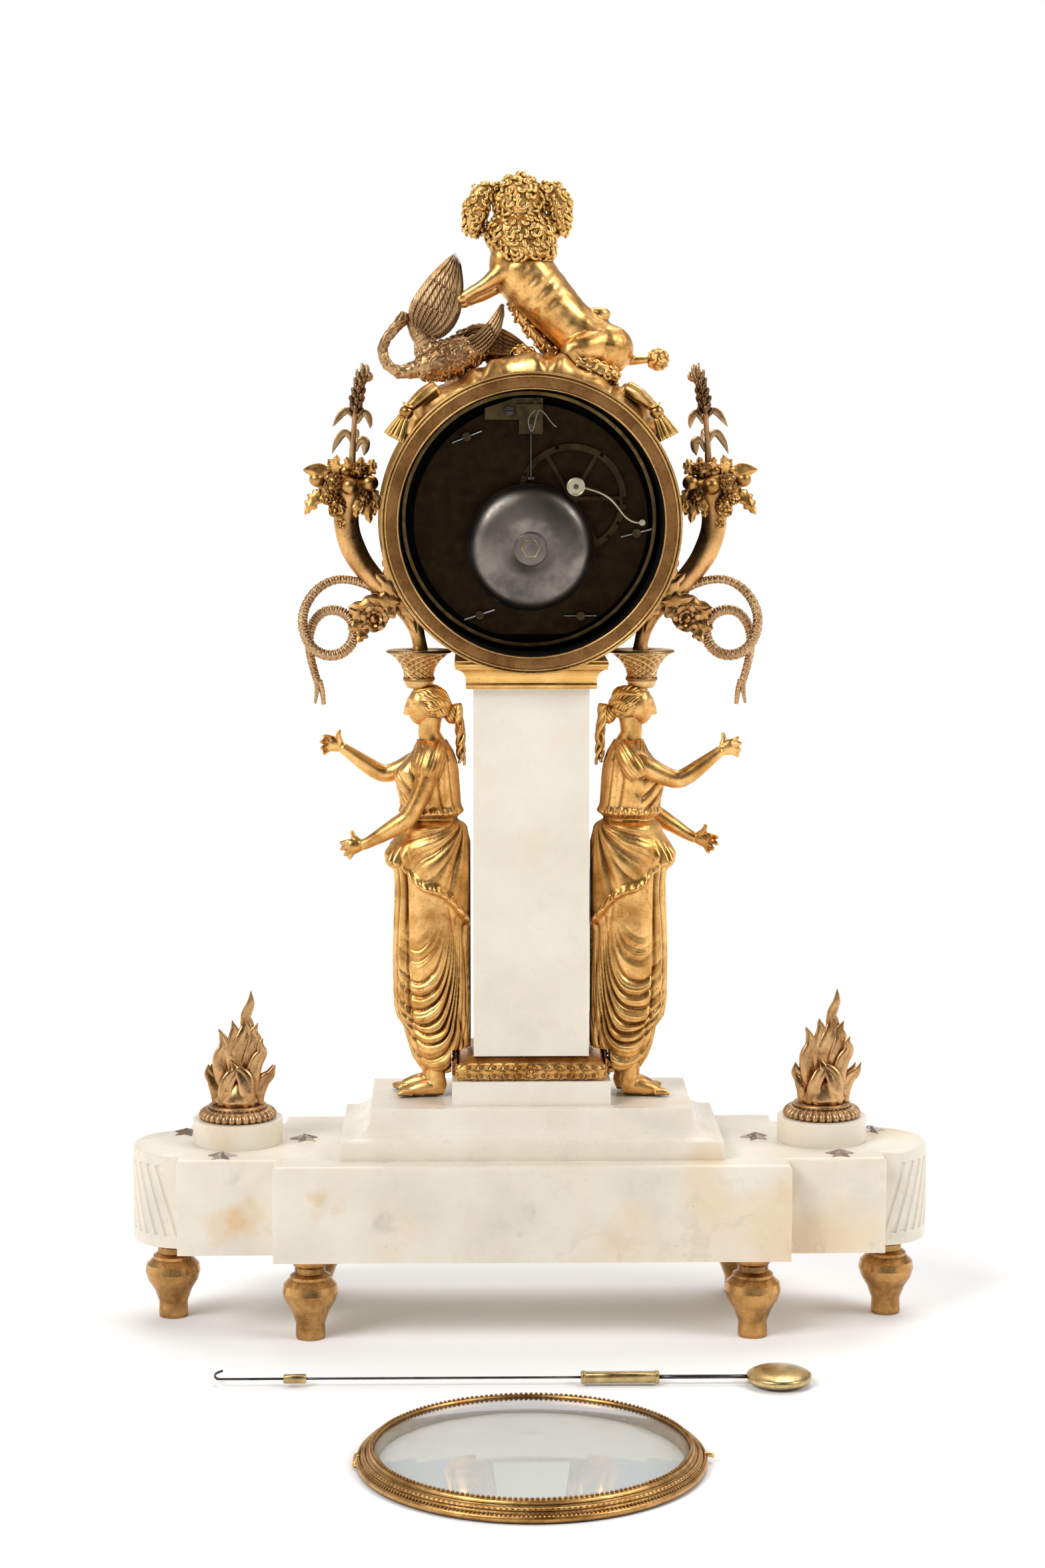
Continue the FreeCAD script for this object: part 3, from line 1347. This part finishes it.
make_plates()
make_posts()
make_going_train()
make_pallets()
make_strike_train()
make_motion_work()
make_dial()
hand("hour_hand", d.hour_hand_length, 1 * d.hour_hand_y, d.cannon_radius + d.running_clearance, 60)
hand("minute_hand", d.minute_hand_length, 1 * d.minute_hand_y, d.arbor_radius + d.running_clearance, -60)


# Bell, hammer and suspension, behind the back plate.
BELL = (float(d.bell_x), float(d.bell_z))


def make_bell():
    """A flat-domed bell with its mouth towards the plate."""
    rim, deep, wall = d.bell_radius, d.bell_depth, d.bell_wall
    hole = d.stand_radius + d.running_clearance
    # share of the radius and of the depth down the outside, from the crown to the mouth
    profile_shares = [(0.42, 0.0), (0.6, 0.02), (0.75, 0.09), (0.87, 0.22), (0.95, 0.42), (0.99, 0.68)]
    outside = [(x * rim, y * deep) for x, y in profile_shares]
    inside = [(x * (rim - wall), y * (deep - wall) + wall) for x, y in reversed(profile_shares)]
    outline = [(1 * hole, 0.0)] + outside + [(1.0 * rim, 1 * deep), (rim - wall, 1 * deep)]
    outline += inside + [(1 * hole, 1 * wall)]
    bell = turned("bell", outline)
    keep(place(bell, 1 * d.bell_x, d.bell_mouth_y - d.bell_depth, d.drum_z + d.bell_z, ALONG_Y))


def make_bell_stand():
    """A foot on the plate beside the pendulum's path, an arm to the bell's axis, washer and nut."""
    crown_y = d.bell_mouth_y - d.bell_depth
    foot = (float(d.stand_foot_x), BELL[1])
    arm_y = d.bell_mouth_y - 0.4 * d.bell_depth
    thick = 2 * d.stand_radius
    reach = abs(BELL[0] - foot[0])
    arm = Part.makeBox(reach, float(thick), float(thick),
                       Vector(foot[0], float(arm_y - d.stand_radius), BELL[1] - float(d.stand_radius)))
    washer_low = crown_y - 0.8 * d.bell_wall
    nut_low = washer_low - 1.6 * d.stand_radius
    shapes = [
        disc_y(d.stand_foot_radius, back_outer - thick / 2, thick / 2, foot),
        disc_y(1.2 * d.stand_radius, arm_y, back_outer - arm_y, foot),
        arm,
        disc_y(1.6 * d.stand_radius, crown_y + d.bell_wall, arm_y - crown_y - d.bell_wall + d.stand_radius,
               BELL),
        disc_y(d.stand_radius, nut_low - d.stand_radius / 2, arm_y - nut_low + d.stand_radius / 2, BELL),
        disc_y(d.bell_washer_radius, washer_low, crown_y - washer_low, BELL),
    ]
    corners = [at_angle(BELL, float(d.bell_nut_radius), 60 * index) for index in range(6)]
    shapes.append(rim_from([Vector(x, 0, z) for x, z in corners], nut_low, washer_low - nut_low))
    keep(feature("bell_stand", set_at(shapes, CENTRE)))


def make_hammer():
    """The hammer head on a curved wire from its arbor, with a lifting tail inside the plates."""
    head = (float(d.hammer_head_x), float(d.hammer_head_z))
    wire_y = float(d.hammer_rod_y)
    span_x, span_z = head[0] - HAMMER[0], head[1] - HAMMER[1]
    # share of the way across and up along the curved wire
    wire_shares = [(0.0, 0.0), (0.25, 0.17), (0.42, 0.55), (0.6, 0.8), (0.8, 0.93), (0.95, 1.0)]
    path = [Vector(HAMMER[0] + x * span_x, wire_y, HAMMER[1] + z * span_z) for x, z in wire_shares]
    tail = facing(HAMMER, PIN_WHEEL)
    long, half = float(d.hammer_tail_length), 0.8 * float(d.wheel_thickness)
    bar = Part.makeBox(long, float(d.wheel_thickness), 2 * half,
                       Vector(0, float(d.hammer_tail_y), -half))
    bar.rotate(Vector(0, 0, 0), Vector(0, 1, 0), -tail)
    bar.translate(Vector(HAMMER[0], 0, HAMMER[1]))
    shapes = [
        disc_y(d.pivot_radius, d.hammer_rod_y - 2 * d.hammer_rod_radius,
               front_outer - d.seat_gap - d.hammer_rod_y + 2 * d.hammer_rod_radius, HAMMER),
        disc_y(2.2 * d.pivot_radius, d.hammer_rod_y - d.hammer_rod_radius, 3 * d.hammer_rod_radius, HAMMER),
        tube_along(path, float(d.hammer_rod_radius)),
        disc_y(d.hammer_head_radius, d.hammer_rod_y - d.hammer_head_length / 2, d.hammer_head_length, head),
        bar,
    ]
    keep(feature("hammer", set_at(shapes, CENTRE)))


def make_suspension():
    """A triangular cock on the back plate, its silk block, post and screw, and the silk loop."""
    top, low = float(d.silk_top_z), float(d.pallet_z)
    thick = d.cock_thickness
    wide = float(d.cock_screw_radius)
    edge = low - 1.6 * wide
    outline = [(-9.6 * wide, top - 2.4 * wide), (-9.6 * wide, top), (-3.3 * wide, top + 2.1 * wide),
               (2.5 * wide, top + 2.1 * wide), (2.5 * wide, edge), (-2.5 * wide, edge),
               (-2.5 * wide, top - 2.4 * wide)]
    plate = rim_from([Vector(x, 0, z) for x, z in outline], d.cock_y, thick)
    front = d.cock_y + thick
    leg = Part.makeBox(3.3 * wide, float(back_outer - front), 2.4 * wide,
                       Vector(-9.6 * wide, float(front), top - 2.4 * wide))
    hole = disc_y(d.arbor_radius + d.running_clearance, d.cock_y - d.overrun, 2 * d.overrun, PALLETS)
    block_y = d.pendulum_y - 4 * d.silk_radius
    block = Part.makeBox(5.6 * wide, float(d.cock_y - block_y), 2.6 * wide,
                         Vector(-3.1 * wide, float(block_y), top - 1.8 * wide))
    screw = disc_y(d.cock_screw_radius, d.cock_y - thick, thick, (-4.7 * wide, top - 0.6 * wide))
    post = disc_y(0.45 * d.cock_screw_radius, block_y, d.cock_y - block_y, (0.9 * wide, top + 1.4 * wide))
    keep(feature("suspension_cock", set_at([plate.cut(hole), leg, block, screw, post], CENTRE)))
    drop, silk = float(d.silk_drop), float(d.silk_radius)
    y = float(block_y) - silk - float(d.seat_gap) / 3
    # share of the drop across and down round the loop, and out along the loose end
    loop_shares = [(0.2, -0.1), (-0.08, -0.4), (-0.1, -0.75), (0.02, -1.0), (0.14, -0.75), (0.22, -0.4),
                   (0.36, -0.1), (0.7, -0.38), (1.12, -0.8)]
    count = len(loop_shares)
    path = [Vector(x * drop, y - 3 * silk * index / count, top + z * drop)
            for index, (x, z) in enumerate(loop_shares)]
    silk_loop = tube_along(path, silk)
    silk_loop.translate(Vector(0, 0, float(d.drum_z)))
    keep(feature("silk_loop", silk_loop))


# The two caryatids: one casting, the second turned half a turn about Z.
def figure_shape():
    """A draped woman facing -X, her far arm raised and her near arm lowered."""
    tall, deep, back = float(d.figure_height), float(d.figure_depth), -float(d.figure_back_x)
    arm = float(d.arm_radius)
    foot_z = float(pedestal_top)
    # height, front edge behind the back line, back edge, and half width across, as shares
    dress_shares = [
        (0.065, 0.60, 0.05, 0.34), (0.10, 0.80, 0.0, 0.42), (0.16, 0.95, 0.0, 0.46), (0.25, 1.04, 0.0, 0.47),
        (0.38, 1.06, 0.0, 0.46), (0.52, 1.03, 0.02, 0.44), (0.565, 1.14, 0.04, 0.44), (0.62, 0.98, 0.12, 0.38),
        (0.66, 0.92, 0.16, 0.33), (0.72, 0.98, 0.16, 0.36), (0.78, 1.02, 0.18, 0.40), (0.835, 0.84, 0.30, 0.38),
        (0.865, 0.70, 0.48, 0.16), (0.9, 0.74, 0.52, 0.13),
    ]
    wires = []
    for level, front, rear, half in dress_shares:
        centre = Vector(back - deep * (front + rear) / 2, 0, foot_z + level * tall)
        long, wide = deep * (front - rear) / 2, deep * half
        if long > wide:
            edge = Part.Ellipse(centre, long, wide).toShape()
        else:
            edge = Part.Ellipse(centre + Vector(0, wide, 0), centre + Vector(long, 0, 0), centre).toShape()
        wires.append(Part.Wire([edge]))
    dress = Part.makeLoft(wires, True, False)
    head_z = foot_z + 0.938 * tall
    head_x = back - 0.66 * deep
    head = egg(Vector(head_x, 0, head_z), 0.27 * deep, 0.235 * deep, 0.062 * tall)
    knot = egg(Vector(back - 0.28 * deep, 0, foot_z + 0.92 * tall), 0.17 * deep, 0.15 * deep, 0.032 * tall)
    crown_x = -float(d.basket_x)
    crown = Part.makeCylinder(0.9 * float(d.basket_foot_radius), 0.02 * tall,
                              Vector(crown_x, 0, foot_z + 0.98 * tall), Vector(0, 0, 1))
    shoulder = foot_z + 0.82 * tall

    def arm_through(side, spots, radii):
        points = [Vector(back - x * deep, side * y * deep, foot_z + z * tall) for x, y, z in spots]
        return limb(points, [share * arm for share in radii])

    raised = arm_through(1, [(0.55, 0.2, 0.82), (0.75, 0.36, 0.80), (1.3, 0.38, 0.775), (1.55, 0.36, 0.80),
                             (1.85, 0.3, 0.845), (2.05, 0.26, 0.865), (2.1, 0.25, 0.89)],
                         (1.3, 1.3, 1.0, 0.95, 0.75, 0.8, 0.5))
    lowered = arm_through(-1, [(0.55, 0.2, 0.82), (0.55, 0.38, 0.79), (0.72, 0.44, 0.70), (0.85, 0.44, 0.668),
                               (1.2, 0.4, 0.64), (1.5, 0.36, 0.62), (1.7, 0.33, 0.605)],
                          (1.2, 1.3, 1.1, 1.0, 0.85, 0.75, 0.7))
    feet = []
    for side in (-1, 1):
        y = side * 0.2 * deep
        feet.append(limb([Vector(back - 0.35 * deep, y, foot_z + 0.03 * tall),
                          Vector(back - 0.6 * deep, y, foot_z + 0.035 * tall),
                          Vector(back - 0.85 * deep, y * 1.1, foot_z + 0.02 * tall),
                          Vector(back - 1.03 * deep, y * 1.15, foot_z + 0.014 * tall)],
                         [0.095 * deep, 0.12 * deep, 0.09 * deep, 0.06 * deep]))
        feet.append(Part.makeCone(0.09 * deep, 0.12 * deep, 0.09 * tall,
                                  Vector(back - 0.52 * deep, y, foot_z + 0.02 * tall), Vector(0, 0, 1)))
    whole = joined([dress, head, knot, crown, raised, lowered] + feet)
    gap = d.seat_gap
    keep_out = [
        centred_cut(d.pillar_half_x + gap, d.pillar_half_y + gap, pillar_foot, d.pillar_height),
        centred_cut(d.laurel_half_x + gap, d.laurel_half_y + gap, plinth_top, d.laurel_height + gap),
        centred_cut(d.plinth_half_x + gap, d.plinth_half_y + gap, pedestal_top, d.plinth_height),
        centred_cut(d.pedestal_top_half_x * 2, d.pedestal_top_half_y * 2, base_top, d.pedestal_height),
    ]
    return whole.cut(keep_out[0].multiFuse(keep_out[1:]))


def centred_cut(half_x, half_y, low_z, height):
    return Part.makeBox(2 * float(half_x), 2 * float(half_y), float(height),
                        Vector(-float(half_x), -float(half_y), float(low_z)))


def make_figures():
    figure = figure_shape()
    keep(feature("figure_left", figure))
    keep(feature("figure_right", turned_round(figure)))


basket_low = pedestal_top + d.figure_height + d.seat_gap
basket_top = basket_low + d.basket_height


def make_baskets():
    rim, foot, tall, lip = d.basket_top_radius, d.basket_foot_radius, d.basket_height, d.basket_rim
    outline = [
        (0.0, 0.0), (1.0 * foot, 0.0), (1.0 * foot, 0.1 * tall), (0.84 * foot, 0.18 * tall),
        (0.86 * foot, 0.4 * tall), (0.55 * rim, 0.62 * tall), (0.8 * rim, 0.82 * tall), (1.0 * rim, tall - lip),
        (1.0 * rim, 1.0 * tall), (0.0, 1.0 * tall),
    ]
    for label, x in (("basket_left", -d.basket_x), ("basket_right", 1 * d.basket_x)):
        keep(place(turned(label, outline), x, 0.0, basket_low))


def side_shapes():
    """The left cornucopia with its rosette and lug, its fruit and wheat, and the snake round it."""
    start_x, low = -float(d.basket_x), float(basket_top)
    stem, mouth = float(d.stem_radius), float(d.horn_mouth_radius)
    fruit = Vector(-float(d.fruit_x), 0, float(d.fruit_z))
    ball = float(d.fruit_radius)
    rise, run = fruit.z - ball - low, fruit.x - start_x
    # share of the run and the rise along the horn's curve, and its thickness in stems
    horn_shares = [(0.0, 0.0, 1.0), (0.05, 0.14, 1.0), (0.25, 0.36, 1.15), (0.52, 0.52, 1.5), (0.78, 0.72, 2.0),
                   (0.93, 1.0, 2.6), (0.95, 1.14, mouth / stem)]
    points = [Vector(start_x + x * run, 0, low + z * rise) for x, z, _ in horn_shares]
    horn = limb(points, [thick * stem for _, _, thick in horn_shares])
    case = Part.makeCylinder(float(d.case_radius), 2 * float(d.case_half_length),
                             Vector(0, -float(d.case_half_length), float(d.drum_z)), Vector(0, 1, 0))
    lug_z = low + 0.5 * rise
    lug = Part.makeCylinder(stem, abs(start_x + 0.5 * run), Vector(start_x + 0.5 * run, 0, lug_z),
                            Vector(1, 0, 0))
    rosette_spot = Vector(start_x + 0.56 * run, -1.2 * stem, low + 0.24 * rise)
    rosette = Part.makeCylinder(2.2 * stem, 1.4 * stem, rosette_spot + Vector(0, -0.7 * stem, 0),
                                Vector(0, 1, 0))
    branch = limb([Vector(start_x + 0.2 * run, 0, low + 0.33 * rise), rosette_spot + Vector(0, stem, 0)],
                  [0.8 * stem, 0.8 * stem])
    below = Part.makeBox(8 * stem, 8 * stem, 4 * stem, Vector(start_x - 4 * stem, -4 * stem, low - 4 * stem))
    horn = joined([horn, lug, rosette, branch]).cut(case).cut(below)
    cluster_shares = [(0, 0, 0, 0.62), (-0.5, -0.1, -0.35, 0.5), (0.45, -0.1, -0.4, 0.5), (0.5, 0.05, 0.45, 0.48),
                      (-0.35, 0.0, 0.5, 0.48), (0.0, -0.4, 0.0, 0.5), (0.0, 0.4, 0.0, 0.5)]
    cluster = [Part.makeSphere(share * ball, fruit + Vector(x * ball, y * ball, z * ball))
               for x, y, z, share in cluster_shares]
    ear_low, ear = fruit.z + 0.3 * ball, float(d.wheat_radius)
    ear_top = float(d.wheat_top_z)
    wheat = limb([Vector(fruit.x + 0.1 * ball, 0, ear_low), Vector(fruit.x + 0.2 * ball, 0, ear_low + 2 * ear),
                  Vector(fruit.x + 0.1 * ball, 0, 0.5 * (ear_low + ear_top)),
                  Vector(fruit.x - 0.2 * ball, 0, ear_top)], [0.6 * ear, ear, ear, 0.15 * ear])
    bunch = joined(cluster + [wheat]).cut(horn)
    thick, loop = float(d.snake_radius), float(d.snake_loop_radius)
    centre = Vector(start_x + 1.18 * run, 0, low + 0.15 * rise)
    # share of the loop radius across and up along the snake, from tail to head
    snake_shares = [(-0.5, -3.3), (-0.1, -2.2), (-0.5, -1.2), (-1.0, -0.4), (-1.2, 0.8), (-1.45, 2.2), (-0.7, 3.4),
                    (0.5, 3.5), (1.2, 3.0)]
    path = [Vector(centre.x + x * loop, -0.25 * loop * index / 4, centre.z + z * loop)
            for index, (x, z) in enumerate(snake_shares)]
    snake = limb(path, [thick] * len(path)).cut(horn)
    return horn, bunch, snake


def make_side_ornaments():
    horn, bunch, snake = side_shapes()
    for name, shape in (("cornucopia", horn), ("fruit_and_wheat", bunch), ("snake", snake)):
        keep(feature(f"{name}_left", shape))
        keep(feature(f"{name}_right", mirrored_x(shape)))


# The drapery over the drum, with tassels, and the two swans and the poodle on it.
def make_drapery():
    """A thick fold of cloth over the drum's top, with a tassel hanging from each rear corner."""
    inner, outer = d.case_radius + d.drape_gap, d.case_radius + d.drape_gap + d.drape_thickness
    half = d.drape_half_length
    shell = disc_y(outer, -half, 2 * half).cut(disc_y(inner, -half - d.overrun, 2 * (half + d.overrun)))
    reach = 2 * float(outer)
    turn = math.radians(float(d.drape_half_angle))
    wedge = Part.makePolygon([Vector(0, 0, 0), Vector(-reach * math.sin(turn), 0, reach * math.cos(turn)),
                              Vector(0, 0, 2 * reach), Vector(reach * math.sin(turn), 0,
                                                              reach * math.cos(turn)), Vector(0, 0, 0)])
    sector = Part.Face(wedge).extrude(Vector(0, 2 * float(half + d.overrun), 0))
    sector.translate(Vector(0, -float(half + d.overrun), 0))
    cloth = shell.common(sector)
    shapes = [cloth]
    wide, long = float(d.tassel_radius), float(d.tassel_length)
    hang = float(outer) * 1.02
    for side in (-1, 1):
        x, z = side * hang * math.sin(turn * 0.92), hang * math.cos(turn * 0.92)
        down = Vector(side * 0.5, 0, -1).normalize()
        head = Vector(x, -float(half) + wide, z)
        shapes.append(Part.makeSphere(0.8 * wide, head))
        shapes.append(Part.makeCone(0.6 * wide, 1.25 * wide, long, head, down))
    drape = joined(shapes).cut(disc_y(inner, -half - d.overrun, 2 * (half + d.overrun)))
    drape.translate(Vector(0, 0, float(d.drum_z)))
    keep(feature("drapery", drape))
    return drape


def swan_shape(at, size, lean):
    """A small swan with a looped neck and a raised wing. Its size scales every share."""
    def spot(x, y, z):
        return Vector(at.x + x * size, at.y + y * size, at.z + z * size)

    body = egg(spot(0, 0, 0), 1.0 * size, 0.55 * size, 0.55 * size)
    wing = limb([spot(-0.3, lean, 0.1), spot(0.0, lean, 0.8), spot(0.25, lean, 1.6), spot(0.3, lean, 2.25)],
                [0.5 * size, 0.5 * size, 0.35 * size, 0.06 * size])
    neck = limb([spot(-0.7, 0, -0.2), spot(-1.3, 0, -0.45), spot(-1.85, 0, -0.2), spot(-1.8, 0, 0.35),
                 spot(-1.4, 0, 0.62)], [0.3 * size, 0.25 * size, 0.21 * size, 0.2 * size, 0.24 * size])
    tail = limb([spot(0.6, 0, 0.1), spot(1.2, 0, 0.5), spot(1.55, 0, 0.85)],
                [0.35 * size, 0.28 * size, 0.08 * size])
    return joined([body, wing, neck, tail])


def make_top_group():
    drape = make_drapery()
    swan_z, top = float(d.swan_z), float(d.poodle_z)
    span = top - float(d.drum_z + d.case_radius)
    size = 0.165 * span
    # places of the two swans and the poodle's parts, as shares of the height above the drum
    first = swan_shape(Vector(-0.36 * span, -0.07 * span, swan_z), size, -0.1).cut(drape)
    second = swan_shape(Vector(-0.12 * span, 0.16 * span, swan_z), size, 0.1).cut(drape).cut(first)
    keep(feature("swans", Part.makeCompound([first, second])))

    def spot(x, y, z):
        return Vector(x * span, y * span, top - z * span)

    shapes = [
        egg(spot(-0.065, 0, 0.14), 0.11 * span, 0.12 * span, 0.14 * span),
        egg(spot(-0.25, 0, 0.22), 0.055 * span, 0.075 * span, 0.14 * span),
        egg(spot(0.115, 0, 0.22), 0.055 * span, 0.075 * span, 0.14 * span),
        egg(spot(-0.045, 0, 0.32), 0.2 * span, 0.17 * span, 0.2 * span),
        limb([spot(-0.02, 0, 0.38), spot(0.1, 0, 0.56), spot(0.24, 0, 0.72), spot(0.36, 0, 0.86)],
             [0.13 * span, 0.14 * span, 0.14 * span, 0.15 * span]),
        egg(spot(0.36, 0, 0.85), 0.13 * span, 0.13 * span, 0.15 * span),
        limb([spot(-0.1, -0.06, 0.44), spot(-0.2, -0.06, 0.54), spot(-0.31, -0.06, 0.6)],
             [0.07 * span, 0.055 * span, 0.05 * span]),
        limb([spot(-0.1, 0.08, 0.44), spot(-0.18, 0.09, 0.56), spot(-0.25, 0.1, 0.68)],
             [0.07 * span, 0.055 * span, 0.05 * span]),
        limb([spot(0.3, -0.12, 0.8), spot(0.27, -0.13, 0.88), spot(0.2, -0.13, 0.92)],
             [0.08 * span, 0.06 * span, 0.045 * span]),
        limb([spot(0.42, 0, 0.9), spot(0.55, 0, 0.92), spot(0.6, 0, 0.88)],
             [0.045 * span, 0.035 * span, 0.035 * span]),
        Part.makeSphere(0.06 * span, spot(0.605, 0, 0.875)),
    ]
    poodle = joined(shapes)
    keep(feature("poodle", poodle.cut(drape).cut(first).cut(second)))


# The bezel and the pendulum, taken off and lying on the table behind the clock.
def make_bezel():
    bore, rim, crest, tall, side = (d.bezel_bore, d.bezel_radius, d.bezel_crest_radius, d.bezel_height,
                                    d.bezel_rim_height)
    seat, glass, clear = d.glass_seat_z, d.bezel_glass_radius + d.running_clearance, d.glass_thickness
    outline = [
        (1 * bore, 0.0), (0.985 * rim, 0.0), (1.0 * rim, 0.2 * side), (1.0 * rim, 1.0 * side),
        (0.985 * rim, 1.25 * side), (0.965 * rim, 1.45 * side), (0.95 * rim, 1.9 * side),
        (0.93 * rim, 2.2 * side), (crest + 0.6 * clear, 0.97 * tall), (1.0 * crest, 1.0 * tall),
        (1.0 * glass, 1.0 * tall), (1.0 * glass, 1.0 * seat), (1 * bore, 1.0 * seat),
    ]
    ring = place(turned("bezel_band", outline), 1 * d.bezel_x, 1 * d.bezel_y, 0.0)
    pin = place(doc.addObject("Part::Cylinder", "bezel_hinge"), d.bezel_x - d.bezel_radius,
                d.bezel_y - d.hinge_length / 2, 1 * d.hinge_radius, ALONG_Y)
    bind(pin, "Radius", d.hinge_radius)
    bind(pin, "Height", d.hinge_length)
    hook = place(doc.addObject("Part::Cylinder", "bezel_hook"), d.bezel_x + d.bezel_radius - d.hook_size / 2,
                 1 * d.bezel_y, 1 * d.bezel_rim_height, ALONG_X)
    bind(hook, "Radius", d.hook_radius)
    bind(hook, "Height", d.hook_size)
    keep(fused("bezel_ring", [ring, pin, hook]))


def make_glass():
    """A convex glass: a shallow dome of even thickness resting in the bezel's seat."""
    radius, rise, thick = float(d.bezel_glass_radius), float(d.glass_rise), float(d.glass_thickness)
    ball = (radius ** 2 + rise ** 2) / (2 * rise)
    centre = Vector(float(d.bezel_x), float(d.bezel_y), float(d.glass_seat_z) + rise - ball)
    dome = Part.makeSphere(ball + thick, centre).cut(Part.makeSphere(ball, centre))
    keep_in = Part.makeCylinder(radius, 2 * rise + thick, Vector(centre.x, centre.y, float(d.glass_seat_z)),
                                Vector(0, 0, 1))
    keep(feature("bezel_glass", dome.common(keep_in)))


def make_pendulum():
    """The rod with its two brass sleeves and hook, and the lens-shaped bob, all lying down."""
    y, z = float(d.pendulum_lie_y), float(d.bob_thickness) / 2
    bob_x, end_x = float(d.bob_x), float(d.bob_x) - float(d.pendulum_length)
    tall, edge = d.bob_thickness, d.bob_edge_height
    outline = [
        (0.0, 0.0), (0.62 * d.bob_radius, 0.0), (1.0 * d.bob_radius, tall / 2 - edge / 2),
        (1.0 * d.bob_radius, tall / 2 + edge / 2), (0.92 * d.bob_radius, 0.9 * tall), (0.0, 1.0 * tall),
    ]
    bob = place(turned("bob_lens", outline), 1 * d.bob_x, 1 * d.pendulum_lie_y, 0.0)
    hole = rod("bob_hole", 1 * d.rod_radius, 3 * d.bob_radius, d.bob_x - d.bob_radius - d.overrun,
               1 * d.pendulum_lie_y, d.bob_thickness / 2, ALONG_X)
    keep(cut_by("pendulum_bob", bob, [hole]))
    long_low = float(d.long_sleeve_x) - float(d.long_sleeve_length) / 2
    sleeves = [
        Part.makeCylinder(float(d.long_sleeve_radius), float(d.long_sleeve_length), Vector(long_low, y, z),
                          Vector(1, 0, 0)),
        Part.makeCylinder(float(d.short_sleeve_radius), float(d.short_sleeve_length),
                          Vector(float(d.short_sleeve_x) - float(d.short_sleeve_length) / 2, y, z),
                          Vector(1, 0, 0)),
        Part.makeCylinder(float(d.rod_radius), bob_x + 0.9 * float(d.bob_radius) - long_low,
                          Vector(long_low, y, z), Vector(1, 0, 0)),
        Part.makeCylinder(float(d.wire_radius), long_low - end_x, Vector(end_x, y, z), Vector(1, 0, 0)),
    ]
    hook = float(d.hook_size)
    wire = float(d.wire_radius)
    curl = limb([Vector(end_x + wire, y, z), Vector(end_x - 0.3 * hook, y - 0.05 * hook, z),
                 Vector(end_x - 0.5 * hook, y + 0.3 * hook, z), Vector(end_x - 0.4 * hook, y + 0.7 * hook, z),
                 Vector(end_x, y + 1.5 * hook, z), Vector(end_x + 0.35 * hook, y + 2.2 * hook, z)],
                [wire] * 6)
    keep(feature("pendulum_rod", joined(sleeves + [curl])))


make_bell()
make_bell_stand()
make_hammer()
make_suspension()
make_figures()
make_baskets()
make_side_ornaments()
make_top_group()
make_bezel()
make_glass()
make_pendulum()


# Check every object, then write each piece.
def check_document():
    doc.recompute()
    for thing in doc.Objects:
        if "Invalid" in thing.State or "Error" in thing.State:
            raise RuntimeError(f"{thing.Name} failed: {thing.State}")
    for thing in pieces:
        if thing.Shape.isNull() or not thing.Shape.isValid():
            raise RuntimeError(f"{thing.Label} has no valid shape")


def write_pieces():
    os.makedirs("parts", exist_ok=True)
    for thing in pieces:
        thing.Shape.exportStep(f"parts/{thing.Label}.step")


check_document()
write_pieces()
